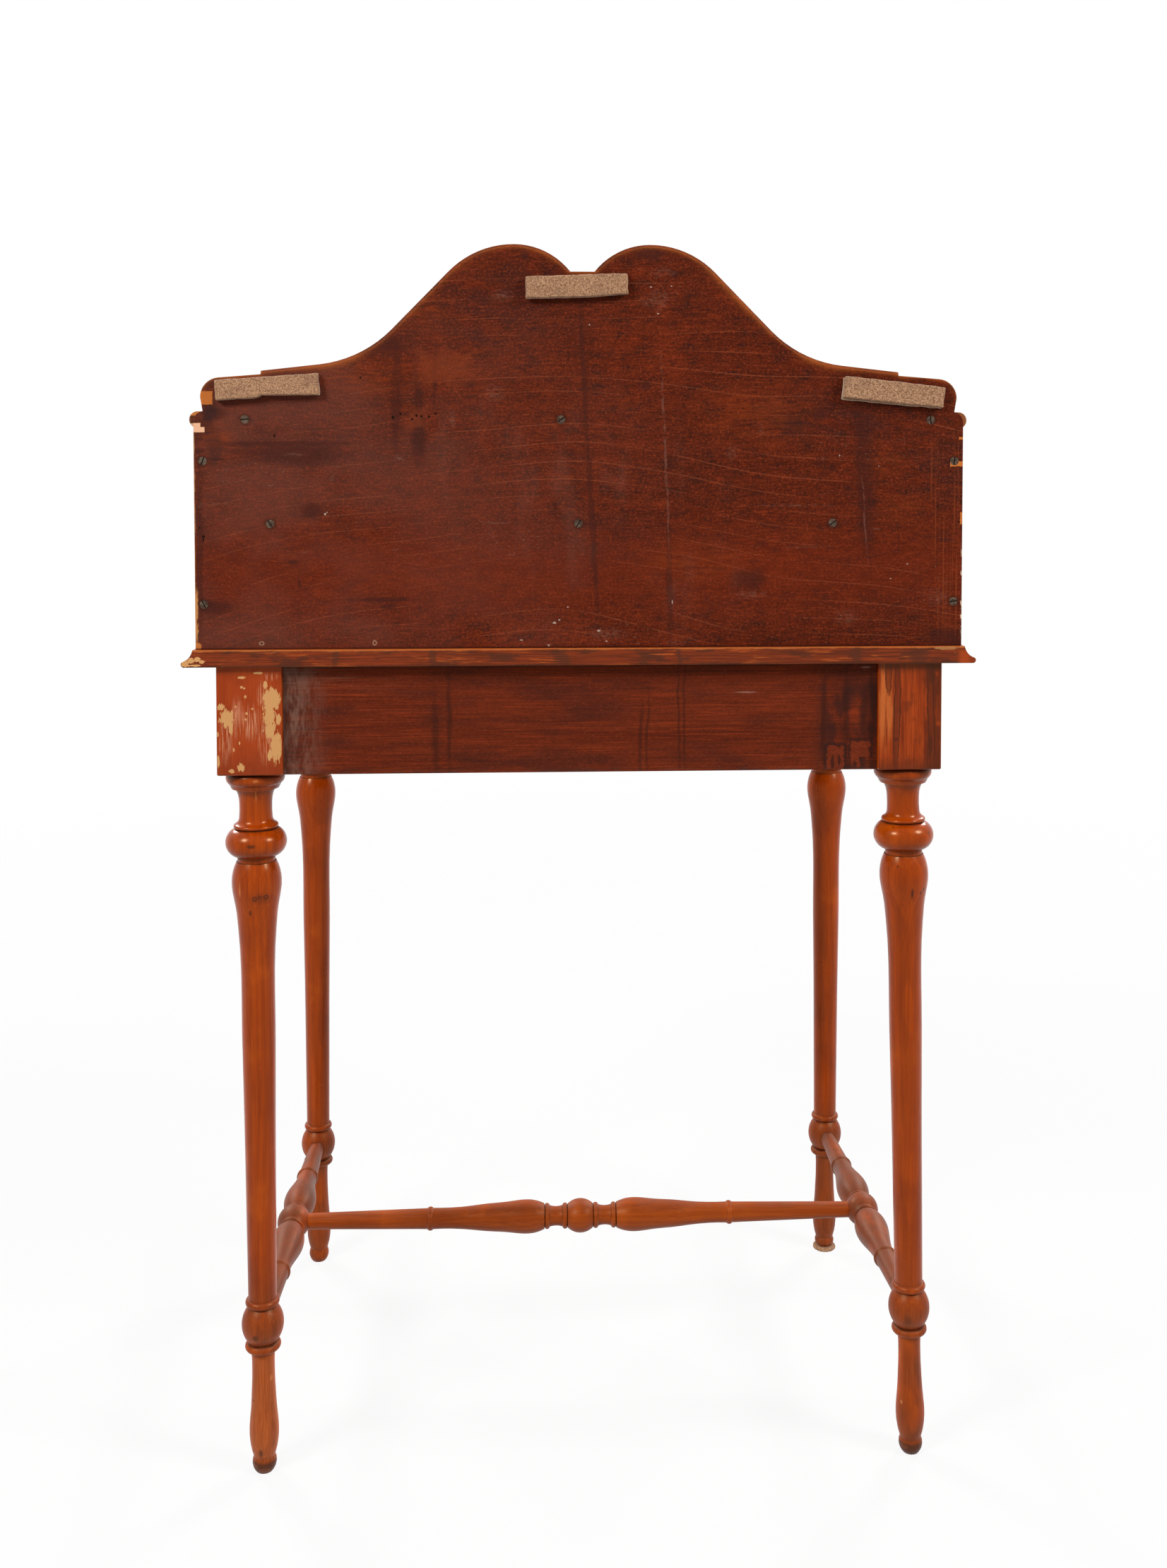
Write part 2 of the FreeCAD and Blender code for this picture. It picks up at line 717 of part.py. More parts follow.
def housed_board(z0, z1):
    """Full-width board let into both cabinet ends."""
    reach = end_inner_x + housing_depth
    return box(-reach, reach, cabinet_front, board_front, z0, z1)


def divider(sx, z0, z1):
    """Upright between two boards, let into both."""
    return box(sx * bay_x, sx * divider_outer_x, cabinet_front, board_front,
               z0 - divider_groove, z1 + divider_groove)


def cabinet_top():
    """Top board with a half-round nosing at the front and sides."""
    radius = cabinet_top_thickness / 2
    reach = cabinet_side + cabinet_nosing - radius
    near = cabinet_front - cabinet_front_nosing
    middle = cabinet_head + radius
    lengthwise = face([line(V(-reach, near, cabinet_head), V(reach, near, cabinet_head)),
                       line(V(-reach, near, cabinet_crown), V(reach, near, cabinet_crown)),
                       arc(V(reach, near, cabinet_head), V(reach + radius, near, middle),
                           V(reach, near, cabinet_crown)),
                       arc(V(-reach, near, cabinet_head), V(-reach - radius, near, middle),
                           V(-reach, near, cabinet_crown))])
    outer = -reach - radius
    nose = near + radius
    crosswise = face([line(V(outer, nose, cabinet_head), V(outer, board_front, cabinet_head)),
                      line(V(outer, board_front, cabinet_head), V(outer, board_front, cabinet_crown)),
                      line(V(outer, board_front, cabinet_crown), V(outer, nose, cabinet_crown)),
                      arc(V(outer, nose, cabinet_crown), V(outer, near, middle),
                          V(outer, nose, cabinet_head))])
    run = board_front - near
    return lengthwise.extrude(V(0, run, 0)).common(crosswise.extrude(V(-2 * outer, 0, 0)))


def dowels(clearance):
    """Pins between the cabinet ends and its top board."""
    pins = []
    for sx in (-1, 1):
        for share in dowel_shares:
            start = V(sx * (end_inner_x + cabinet_side) / 2, cabinet_front + share * cabinet_depth,
                      cabinet_head - dowel_end_depth - clearance)
            length = dowel_end_depth + dowel_top_depth + 2 * clearance
            pins.append(rod(dowel_diameter + 2 * clearance, start, V(0, 0, 1), length))
    return pins


def half_back_board():
    """Right half of the shaped back board: hump, falling slope, hollow, ledge, step and shoulder."""
    slope = math.radians(slope_angle)
    ledge = math.radians(ledge_angle)

    def at(x, z):
        return V(x, board_front, z)

    notch = at(notch_width / 2, crest - notch_depth)
    inner_run = hump_offset - notch_width / 2
    inner_radius = (inner_run ** 2 + notch_depth ** 2) / (2 * notch_depth)
    inner_angle = math.atan2(inner_run, inner_radius - notch_depth) / 2
    inner_middle = at(hump_offset - inner_radius * math.sin(inner_angle),
                      crest - inner_radius * (1 - math.cos(inner_angle)))
    crown = at(hump_offset, crest)

    # Both arcs are rounds between level, slope and ledge, so the room up to the step limits them
    step_x = cabinet_side - step_inset
    arcs_run = hump_outer_radius * math.sin(slope) + hollow_radius * (math.sin(slope) - math.sin(ledge))
    arcs_fall = hump_outer_radius * (1 - math.cos(slope)) + hollow_radius * (math.cos(ledge) - math.cos(slope))
    spare_run = crest_room_share * (step_x - hump_offset) - hollow_drop / math.tan(slope)
    round_share = min(1, spare_run / (arcs_run - arcs_fall / math.tan(slope)),
                      crest_room_share * hollow_drop / arcs_fall)
    hump_round = round_share * hump_outer_radius
    hollow_round = round_share * hollow_radius

    def on_hump(angle):
        return at(hump_offset + hump_round * math.sin(angle), crest - hump_round * (1 - math.cos(angle)))

    hump_end = on_hump(slope)
    hollow_fall = hollow_round * (math.cos(ledge) - math.cos(slope))
    slope_fall = hollow_drop - (crest - hump_end.z) - hollow_fall
    slope_end = at(hump_end.x + slope_fall / math.tan(slope), hump_end.z - slope_fall)

    def on_hollow(angle):
        return at(slope_end.x + hollow_round * (math.sin(slope) - math.sin(angle)),
                  slope_end.z - hollow_round * (math.cos(angle) - math.cos(slope)))

    hollow_end = on_hollow(ledge)
    step_head = at(step_x, hollow_end.z - (step_x - hollow_end.x) * math.tan(ledge))
    step_foot = at(step_x, step_head.z - step_height)
    shoulder_x = cabinet_side - shoulder_inset
    bend = math.radians(shoulder_angle)
    bend_start_x = shoulder_x - shoulder_radius * (1 - math.sin(bend))
    bend_start = at(bend_start_x, step_foot.z - (bend_start_x - step_x) * math.tan(bend))
    bend_centre = V(shoulder_x - shoulder_radius, 0, bend_start.z - shoulder_radius * math.cos(bend))
    half_turn = (bend + math.pi / 2) / 2
    bend_middle = at(bend_centre.x + shoulder_radius * math.sin(half_turn),
                     bend_centre.z + shoulder_radius * math.cos(half_turn))
    bend_end = at(shoulder_x, bend_centre.z)
    corner_x = cabinet_side - board_corner_radius
    corner_z = min(cabinet_crown, bend_end.z) - board_corner_radius

    def on_corner(angle):
        return at(corner_x + board_corner_radius * math.sin(angle),
                  corner_z + board_corner_radius * math.cos(angle))

    neck_angle = math.asin((cabinet_side - neck_inset - corner_x) / board_corner_radius)
    neck = on_corner(neck_angle)
    corner_middle = on_corner((neck_angle + math.pi / 2) / 2)
    corner_end = at(cabinet_side, corner_z)
    foot = at(cabinet_side, writing_height)
    middle_foot = at(0, writing_height)
    middle_notch = at(0, notch.z)
    crest_edges = [arc(notch, inner_middle, crown), arc(crown, on_hump(slope / 2), hump_end),
                   line(hump_end, slope_end), arc(slope_end, on_hollow((slope + ledge) / 2), hollow_end),
                   line(hollow_end, step_head)]
    rest = [line(step_head, step_foot), line(step_foot, bend_start), arc(bend_start, bend_middle, bend_end),
            line(bend_end, neck), arc(neck, corner_middle, corner_end), line(corner_end, foot),
            line(foot, middle_foot), line(middle_foot, middle_notch), line(middle_notch, notch)]
    board = face(crest_edges + rest).extrude(V(0, back_board_thickness, 0))
    rear_centres = [edge.CenterOfMass + V(0, back_board_thickness, 0) for edge in crest_edges]
    eased = [edge for edge in board.Edges
             if any(edge.CenterOfMass.isEqual(centre, matching_tolerance) for centre in rear_centres)]
    return board.makeChamfer(crest_chamfer, eased)


def screw_places():
    """Head centres and slot angles of the back board's screws."""
    places = [(V(share * cabinet_side, back_face, cabinet_head + cabinet_top_thickness / 2), turn)
              for share, turn in top_row_shares]
    places += [(V(share * cabinet_side, back_face, (shelf_under + shelf_face) / 2), turn)
               for share, turn in shelf_row_shares]
    for share, left_turn, right_turn in end_row_shares:
        for sx, turn in ((-1, left_turn), (1, right_turn)):
            x = sx * (end_inner_x + cabinet_side) / 2
            places.append((V(x, back_face, writing_height + share * cabinet_height), turn))
    return places


def wood_screw(length, clearance):
    """Countersunk screw with its head at zero and its shank down -Z."""
    head = Part.makeCone(screw_head_diameter / 2 + clearance, screw_shank_diameter / 2 + clearance,
                         screw_head_height, V(0, 0, 0), V(0, 0, -1))
    shank = rod(screw_shank_diameter + 2 * clearance, V(0, 0, 0), V(0, 0, -1), length + clearance)
    return joined([head, shank])


def slotted_screw(length, turn):
    slot = box(-screw_head_diameter, screw_head_diameter, -screw_slot_width / 2, screw_slot_width / 2,
               -screw_slot_depth, overrun)
    slot.rotate(V(0, 0, 0), V(0, 0, 1), turn)
    return wood_screw(length, 0).cut(slot)


def back_screws(clearance):
    """Screws through the back board, or their holes where there is a clearance."""
    screws = []
    for spot, turn in screw_places():
        screw = wood_screw(screw_length, clearance) if clearance else slotted_screw(screw_length, turn)
        screw.rotate(V(0, 0, 0), V(1, 0, 0), -90)
        screw.translate(spot)
        screws.append(screw)
    return screws


def fixing_screws(clearance):
    """Screws up through the desk top into the cabinet floor, or their holes."""
    screws = []
    for share_x, share_y in fixing_screw_shares:
        if clearance:
            screw = wood_screw(fixing_screw_length, clearance)
        else:
            screw = slotted_screw(fixing_screw_length, 0)
        screw.rotate(V(0, 0, 0), V(1, 0, 0), 180)
        screw.translate(V(share_x * cabinet_side, cabinet_front + share_y * cabinet_depth, top_under))
        screws.append(screw)
    return screws


def felt_pad(x, drop, tilt):
    """Felt strip stuck on the back board, askew: a positive tilt lowers its right end."""
    pad = box(-pad_length / 2, pad_length / 2, 0, pad_thickness, -pad_height / 2, pad_height / 2)
    uprights = [edge for edge in pad.Edges if edge.BoundBox.YLength > pad_thickness / 2]
    pad = pad.makeFillet(pad_corner_radius, uprights)
    pad.rotate(V(0, 0, 0), V(0, 1, 0), tilt)
    pad.translate(V(x, back_face, crest - drop))
    return pad


def foot_disc():
    """Felt disc that packs up the short front left leg."""
    return rod(foot_disc_diameter, V(-leg_x, leg_y_front, 0), V(0, 0, 1), foot_disc_thickness)


def frame_pieces():
    """Legs, rails and stretchers."""
    upper = front_upper_rail()
    lower = front_lower_rail()
    rear = rear_rail()
    pieces = {"front_upper_rail": upper, "front_lower_rail": lower, "rear_rail": rear}
    bore = cross_bore()
    for side, sx in (("left", -1), ("right", 1)):
        rail = side_rail(sx)
        front_foot = foot_disc_thickness if sx < 0 else 0
        pieces["leg_front_" + side] = leg(sx, -1, front_foot, [rail, upper, lower])
        pieces["leg_rear_" + side] = leg(sx, 1, 0, [rail, rear])
        pieces["side_rail_" + side] = rail
        pieces["side_stretcher_" + side] = side_stretcher(sx, bore)
    pieces["cross_stretcher"] = cross_stretcher()
    return pieces


def drawer_carriers():
    """Runners, guides, kickers, stops and glue blocks inside the frieze."""
    pieces = {"frieze_drawer_stops": drawer_stops(), "top_glue_blocks": glue_blocks()}
    for side, sx in (("left", -1), ("right", 1)):
        pieces["frieze_runner_" + side] = notched_strip(sx, front_plane + lower_rail_depth, block_foot,
                                                        opening_floor)
        pieces["frieze_guide_" + side] = frieze_guide(sx)
        pieces["frieze_kicker_" + side] = notched_strip(sx, front_plane + upper_rail_depth, opening_head,
                                                        top_under)
    return pieces


def cabinet_pieces():
    """Cabinet boards, back board and their fixings."""
    floor = housed_board(writing_height, floor_face)
    shelf = housed_board(shelf_under, shelf_face)
    top = cabinet_top()
    screw_holes = back_screws(screw_clearance)
    pieces = {"cabinet_dowels": Part.makeCompound(dowels(0)),
              "back_board_screws": Part.makeCompound(back_screws(0)),
              "cabinet_fixing_screws": Part.makeCompound(fixing_screws(0))}
    uprights = []
    for side, sx in (("left", -1), ("right", 1)):
        lower = divider(sx, floor_face, shelf_under)
        upper = divider(sx, shelf_face, cabinet_head)
        uprights += [lower, upper]
        pieces["lower_divider_" + side] = lower
        pieces["upper_divider_" + side] = upper
        holes = dowels(dowel_clearance) + screw_holes
        pieces["cabinet_end_" + side] = cabinet_end(sx).cut([floor, shelf] + holes)
    pieces["cabinet_floor"] = floor.cut(uprights + fixing_screws(screw_clearance))
    pieces["cabinet_shelf"] = shelf.cut(uprights + screw_holes)
    pieces["cabinet_top"] = top.cut(uprights + dowels(dowel_clearance) + screw_holes)
    half = half_back_board()
    board = joined([half, half.mirror(V(0, 0, 0), V(1, 0, 0))])
    pieces["back_board"] = board.cut(screw_holes)
    return pieces


def felt_pieces():
    return {"felt_pad_left": felt_pad(left_pad_inset - cabinet_side, left_pad_drop, left_pad_tilt),
            "felt_pad_centre": felt_pad(centre_pad_offset, centre_pad_drop, centre_pad_tilt),
            "felt_pad_right": felt_pad(cabinet_side - right_pad_inset, right_pad_drop, right_pad_tilt),
            "felt_foot_disc": foot_disc()}


def drawer_pieces():
    pieces = {}
    for name, parts in (("frieze_drawer", frieze_drawer()), ("left_drawer", small_drawer(-1)),
                        ("right_drawer", small_drawer(1))):
        for part, shape in parts.items():
            pieces[name + "_" + part] = shape
    return pieces


def main():
    leather = writing_leather()
    pieces = {"desk_top": desk_top(leather, fixing_screws(screw_clearance)), "writing_leather": leather}
    for group in (frame_pieces(), drawer_carriers(), cabinet_pieces(), felt_pieces(), drawer_pieces()):
        pieces.update(group)
    os.makedirs("parts", exist_ok=True)
    for name, shape in pieces.items():
        shape.exportStep("parts/" + name + ".step")


main()
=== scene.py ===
"""Looks of a lady's writing desk: wood finishes, leather, felt, studio and camera.

Objects are in metres, in the desk's frame: X to the sitter's right, Y to the back, Z up.
Inside a finish, places and sizes are millimetres in that frame, and colours are 8-bit levels.
"""

import json
import math
from functools import cache, partialmethod, reduce

import bmesh
import bpy
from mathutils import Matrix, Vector, noise


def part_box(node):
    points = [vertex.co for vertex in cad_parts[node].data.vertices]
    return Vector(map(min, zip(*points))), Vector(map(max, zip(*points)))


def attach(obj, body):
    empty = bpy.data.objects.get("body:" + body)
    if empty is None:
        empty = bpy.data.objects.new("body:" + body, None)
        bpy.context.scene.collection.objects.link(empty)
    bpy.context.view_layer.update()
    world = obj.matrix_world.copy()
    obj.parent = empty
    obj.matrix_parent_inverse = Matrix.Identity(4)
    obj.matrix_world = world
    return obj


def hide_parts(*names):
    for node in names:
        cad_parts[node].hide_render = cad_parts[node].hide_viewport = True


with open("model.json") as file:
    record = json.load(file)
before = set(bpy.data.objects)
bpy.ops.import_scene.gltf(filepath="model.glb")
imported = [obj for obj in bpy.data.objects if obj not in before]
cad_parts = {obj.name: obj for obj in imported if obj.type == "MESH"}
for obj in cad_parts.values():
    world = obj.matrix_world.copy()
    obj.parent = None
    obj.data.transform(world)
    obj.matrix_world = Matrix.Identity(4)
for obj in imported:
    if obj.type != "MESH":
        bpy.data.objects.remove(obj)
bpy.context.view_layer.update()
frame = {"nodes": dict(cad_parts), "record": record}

MM = 0.001
ANY_DEPTH = 1e6

# How far a step of a seed moves noise on each axis, and how far specks are moved
NOISE_SHIFT = (171, 233, 319)
SPECK_SHIFT = (97, 61, 37)

# Planes and levels of the desk, in millimetres
BACK_FACE = 231.5
BOARD_SIDE = 337
BOARD_FOOT = 750
TOP_UNDERSIDE = 735
BLOCK_BOTTOM = 639
REAR_LEG_Y = 203
PEG_TOP = 11


def linear(colour):
    """Linear colour from 8-bit levels. A socket or a linear colour passes through."""
    if not isinstance(colour, tuple) or len(colour) > 3:
        return colour
    levels = [level / 255 for level in colour]
    return (*(v / 12.92 if v < 0.04045 else ((v + 0.055) / 1.055) ** 2.4 for v in levels), 1)


def three(size):
    """Size on each axis, from one number, (level, upright) or (x, y, z)."""
    if not isinstance(size, tuple):
        return (size,) * 3
    return size if len(size) == 3 else (size[0], *size)


def along(axis, length, width):
    """Feature size that is long on one axis and narrow on the others."""
    return tuple(length if name == axis else width for name in "xyz")


def feed(tree, socket, value):
    """Links a field or socket to an input, or sets its plain value."""
    if isinstance(value, Field):
        value = value.socket
    if isinstance(value, bpy.types.NodeSocket):
        tree.links.new(value, socket)
    else:
        socket.default_value = value


def add_node(tree, kind, sockets=None, output=0, **settings):
    """Adds a shader node, feeds its inputs and gives one of its outputs."""
    made = tree.nodes.new("ShaderNode" + kind)
    for name, setting in settings.items():
        setattr(made, name, setting)
    for key, value in (sockets or {}).items():
        feed(tree, made.inputs[key], value)
    return made.outputs[output]


def add_object(name, data):
    """Adds an object to the scene."""
    made = bpy.data.objects.new(name, data)
    bpy.context.scene.collection.objects.link(made)
    return made


def add_shape(name, shape, material):
    """Adds a made shape as a mesh of one material."""
    mesh = bpy.data.meshes.new(name)
    shape.to_mesh(mesh)
    shape.free()
    mesh.materials.append(material)
    return add_object(name, mesh)


# Finish building

class Field:
    """A number that varies over a surface. Arithmetic on it adds nodes to its finish."""

    def __init__(self, finish, socket):
        self.finish = finish
        self.socket = socket

    def math(self, operation, other=0):
        return self.finish.math(operation, self, other)

    def __rsub__(self, other):
        return self.finish.math("SUBTRACT", other, self)

    __add__ = partialmethod(math, "ADD")
    __sub__ = partialmethod(math, "SUBTRACT")
    __mul__ = partialmethod(math, "MULTIPLY")
    __truediv__ = partialmethod(math, "DIVIDE")
    abs = partialmethod(math, "ABSOLUTE")
    max = partialmethod(math, "MAXIMUM")
    min = partialmethod(math, "MINIMUM")

    def step(self, low, high):
        """Smooth rise from 0 at low to 1 at high; it falls where low is above high."""
        sockets = {"Value": self, "From Min": low, "From Max": high}
        return self.finish.field("MapRange", sockets, interpolation_type="SMOOTHSTEP")

    def band(self, low, high, soft):
        """1 between two values, with soft ends."""
        return self.step(low - soft, low + soft) * self.step(high + soft, high - soft)


class Finish:
    """A procedural material, painted layer by layer over a base colour."""

    def __init__(self, name, roughness):
        self.material = bpy.data.materials.new(name)
        self.material.use_nodes = True
        self.tree = self.material.node_tree
        in_metres = self.node("TexCoord", output="Object")
        self.place = self.vector("MULTIPLY", in_metres, three(1 / MM))
        self.x, self.y, self.z = (self.field("SeparateXYZ", {0: self.place}, axis) for axis in "XYZ")
        self.roughness = roughness
        self.colour = self.tone = self.height = None

    def node(self, *description, **settings):
        return add_node(self.tree, *description, **settings)

    def field(self, *description, **settings):
        return Field(self, self.node(*description, **settings))

    def math(self, operation, first, second=0):
        return self.field("Math", {0: first, 1: second}, operation=operation)

    def vector(self, operation, first, second):
        return self.node("VectorMath", {0: first, 1: second}, operation=operation)

    def moved(self, axis, shift):
        """Place with a field of millimetres added on one axis."""
        return self.vector("ADD", self.place, self.node("CombineXYZ", {axis: shift}))

    def noise(self, size, detail=3, roughness=0.55, seed=0, bend=None):
        """Cloudy noise about 0.5, of a feature size."""
        place = self.place if bend is None else self.moved("Z", bend)
        shifted = self.vector("ADD", place, tuple(seed * shift for shift in NOISE_SHIFT))
        scaled = self.vector("DIVIDE", shifted, three(size))
        sockets = {"Vector": scaled, "Scale": 1, "Detail": detail, "Roughness": roughness}
        return self.field("TexNoise", sockets)

    @cache
    def fray(self, size):
        """Noise about 0 that tears the outlines of marks. Marks of one size of tear share it."""
        return self.noise(size, 4, 0.65, seed=8) - 0.5

    def torn(self, reaches, ragged, grain):
        """Least of many fields, frayed."""
        return reduce(Field.min, reaches) + self.fray(grain) * (2 * ragged)

    def specks(self, spacing, radius):
        """Small round marks of a radius, scattered through cells of a spacing."""
        shifted = self.vector("ADD", self.place, SPECK_SHIFT)
        scaled = self.vector("DIVIDE", shifted, three(spacing))
        distance = self.field("TexVoronoi", {"Vector": scaled, "Scale": 1}, "Distance") * spacing
        return distance.step(radius, radius * 0.5)

    def ovals(self, places, ragged=0.3, soft=0.2, grain=4, place=None):
        """Frayed ovals on a front or rear face: (x, z, half width, half height, perhaps a lean)."""
        place = place or self.place
        lengths = []
        for x, z, half_width, half_height, *lean in places:
            if lean:
                sockets = {"Vector": place, "Location": (x, 0, z), "Rotation": (0, lean[0], 0),
                           "Scale": (half_width, ANY_DEPTH, half_height)}
                moved = self.node("Mapping", sockets, vector_type="TEXTURE")
            else:
                sockets = {0: place, 1: (1 / half_width, 0, 1 / half_height),
                           2: (-x / half_width, 0, -z / half_height)}
                moved = self.node("VectorMath", sockets, operation="MULTIPLY_ADD")
            lengths.append(self.field("VectorMath", {0: moved}, "Value", operation="LENGTH"))
        return self.torn(lengths, ragged, grain).step(1 + soft, 1 - soft)

    def hoops(self, places, heart, **shape):
        """Frayed oval rings on such a face, open inside a share of their size."""
        hearts = tuple((x, z, heart * width, heart * height) for x, z, width, height in places)
        return self.ovals(places, **shape) * (1 - self.ovals(hearts, **shape))

    def streaks(self, places, wander=5, **shape):
        """Wandering streaks on such a face: (top x, top z, foot x, foot z, half width)."""
        swayed = self.moved("X", self.fray(26) * wander)
        slender = []
        for x_top, z_top, x_foot, z_foot, half_width in places:
            over = x_top - x_foot
            drop = z_top - z_foot
            middle = ((x_top + x_foot) / 2, (z_top + z_foot) / 2)
            slender.append((*middle, half_width, math.hypot(over, drop) / 2, math.atan2(over, drop)))
        return self.ovals(slender, place=swayed, **{"soft": 0.5, **shape})

    def panels(self, places, ragged=1, soft=0.5, grain=4):
        """Frayed rectangles on such a face: (low x, high x, low z, high z)."""
        reaches = []
        for x_low, x_high, z_low, z_high in places:
            wide = (self.x - (x_low + x_high) / 2).abs() - (x_high - x_low) / 2
            tall = (self.z - (z_low + z_high) / 2).abs() - (z_high - z_low) / 2
            reaches.append(wide.max(tall))
        return self.torn(reaches, ragged, grain).step(soft, -soft)

    def flakes(self, places, grain, torn=1.7):
        """Torn patches, most likely at the given ovals."""
        likely = self.ovals(places, ragged=0, soft=0.8)
        coarse = self.fray(grain) * torn
        fine = self.fray(tuple(size * 0.35 for size in grain)) * (0.7 * torn)
        return (likely + coarse + fine).step(0.44, 0.56)

    def facing(self, axis, sign, low=0.6, high=0.9):
        """1 on faces that look along an axis, 0 on the others."""
        normal = self.node("NewGeometry", output="True Normal")
        return (self.field("SeparateXYZ", {0: normal}, axis) * sign).step(low, high)

    def rounded(self, radius):
        """Normal of the surface with its edges rounded."""
        return self.node("Bevel", {"Radius": radius * MM}, samples=4)

    def edges(self, radius):
        """1 close to an arris, within about a radius."""
        sockets = {0: self.rounded(radius), 1: self.node("NewGeometry", output="Normal")}
        turn = self.field("VectorMath", sockets, "Value", operation="DOT_PRODUCT")
        return (1 - turn).step(0.01, 0.2)

    def hollows(self, reach):
        """1 in grooves and inner corners, judged over a reach."""
        sockets = {"Distance": reach * MM}
        clear = self.field("AmbientOcclusion", sockets, "AO", samples=6, only_local=True)
        return (1 - clear).step(0.12, 0.6)

    def rings(self, axis, pith, spacing=6):
        """Late wood of growth rings about a pith line along an axis."""
        across = [field for name, field in zip("xyz", (self.x, self.y, self.z)) if name != axis]
        first, second = (field - middle for field, middle in zip(across, pith))
        radius = self.math("SQRT", first * first + second * second)
        wobble = (self.noise(along(axis, 240, 45), 2, seed=12) - 0.5) * 26
        phase = self.math("FRACT", (radius + wobble) / spacing)
        return phase.step(0.25, 0.9) * phase.step(1, 0.93)

    def mix(self, amount, low, high):
        """Colour between two others."""
        return self.node("Mix", {0: amount, 6: linear(low), 7: linear(high)}, 2, data_type="RGBA")

    def paint(self, colour, mask):
        """Lays a colour over what is there."""
        self.colour = self.mix(mask, self.colour, colour)

    def marks(self, colour, places, strength, **shape):
        """Paints frayed ovals. The strength is a number or a field."""
        self.paint(colour, self.ovals(places, **shape) * strength)

    def shade(self, field, *layers):
        """Paints colours where a field is high or low: (colour, strength, none at, full at)."""
        for colour, strength, none, full in layers:
            self.paint(colour, field.step(none, full) * strength)

    def gloss(self, roughness, mask):
        """Moves the roughness towards a value."""
        self.roughness = mask * (roughness - self.roughness) + self.roughness

    def raise_by(self, field):
        """Adds to the relief, in millimetres."""
        self.height = field if self.height is None else self.height + field

    def grain(self, axis, dark, light, pores, bend=None, relief=1):
        """Straight wood grain along an axis, with fine open pores."""
        bands = self.noise(along(axis, 320, 11), 4, bend=bend)
        fibres = self.noise(along(axis, 70, 1.1), 2, seed=1, bend=bend)
        self.tone = (bands * 0.5 + fibres * 0.5).step(0.25, 0.75)
        self.colour = self.mix(self.tone, dark, light)
        open_pores = self.noise(along(axis, 11, 0.45), 1, seed=2, bend=bend).step(0.6, 0.74)
        pore_colour = (*(0.35 * level for level in linear(dark)[:3]), 1)
        self.paint(pore_colour, open_pores * pores)
        self.raise_by((fibres * 0.02 - open_pores * 0.04) * relief)

    def done(self, rounding, specular, others=None):
        """Feeds the layers and other values to the shader."""
        relief = {"Distance": MM, "Height": self.height}
        if rounding:
            relief["Normal"] = self.rounded(rounding)
        layers = {"Base Color": self.colour, "Roughness": self.roughness,
                  "Normal": self.node("Bump", relief), "Specular IOR Level": specular}
        shader = self.tree.nodes["Principled BSDF"]
        for name, value in (layers | (others or {})).items():
            feed(self.tree, shader.inputs[name], value)
        return self.material


# Polished wood

VARNISH_DARK = (137, 46, 1)
VARNISH_LIGHT = (176, 68, 3)
BROWN_DARK = (130, 50, 6)
BROWN_LIGHT = (170, 72, 11)
GROOVE_DIRT_AND_SHADE = (58, 22, 10)
RUBBED_EDGE = (205, 120, 58)
BARE_TAN = (206, 152, 96)
PINK_BARE = (232, 178, 142)
RAW_ORANGE = (206, 118, 54)
WARM_GLEAM = {"Specular Tint": (1, 0.7, 0.4, 1)}
UPRIGHT_FRAY = (2.4, 9)
STAIN_FRAY = (9, 5)
GROOVE_REACH = 7
FLAT_GLOSS = 0.44
PITHS = {"x": (10, 480), "y": (60, 470), "z": (-120, 330)}
PEG_CHIPS = ((-287, 5, 4, 2.5), (-296, 8, 3, 1.6), (287, 4, 5, 3), (296, 8, 3, 1.5))


def polished(name, axis, pith, dark=VARNISH_DARK, light=VARNISH_LIGHT, dulled=0.75):
    """Glossy orange-brown wood: painted shade in hollows and on undersides, grooves dark with dirt and
    painted shade, edges rubbed, dulled near the floor.
    """
    wood = Finish(name, 0.22)
    wood.grain(axis, dark, light, pores=0.14, relief=0.1)
    wood.paint((108, 33, 3), wood.rings(axis, pith) * 0.24)
    clouds = wood.noise((50, 70), seed=4)
    wood.shade(clouds, ((112, 32, 3), 0.5, 0.5, 0.75), ((198, 88, 10), 0.45, 0.46, 0.26))
    # Painted shade: darker in wide hollows round necks and junctions, and on faces that look down
    wood.paint((74, 22, 4), wood.hollows(3 * GROOVE_REACH) * 0.75)
    wood.paint((90, 27, 4), wood.facing("Z", -1, low=0.1, high=0.8) * 0.55)
    # Grooves: dirt that roughens the polish, and a dark colour that is partly painted shade
    groove_dirt_and_shade = wood.hollows(GROOVE_REACH)
    wood.paint(GROOVE_DIRT_AND_SHADE, groove_dirt_and_shade * 0.85)
    rubbed = wood.edges(1.6) * wood.noise(14, seed=5).step(0.42, 0.65)
    wood.paint(RUBBED_EDGE, rubbed * 0.45)
    dents = wood.specks(27, 0.7)
    wood.paint((52, 20, 10), dents * 0.6)
    wood.raise_by(dents * -0.15)
    wood.gloss(0.62, groove_dirt_and_shade)
    wood.gloss(0.3, wood.noise(30, seed=7).step(0.5, 0.75))
    low = wood.z.step(205, 125)
    dull = wood.mix(wood.tone, (92, 39, 15), (138, 64, 27))
    wood.paint(dull, low * (1 - groove_dirt_and_shade) * clouds.step(0.25, 0.55) * dulled)
    settled = wood.facing("Z", 1) * low
    dust = wood.noise(9, 5, seed=3).step(0.3, 0.65)
    wood.paint((118, 74, 54), settled * dust * 0.3)
    wood.gloss(0.45, low)
    wood.gloss(0.6, settled)
    return wood


def finish_polish(wood, rounding=0):
    """Ends a polished finish, with warm soft gleams."""
    return wood.done(rounding, 0.3, WARM_GLEAM)


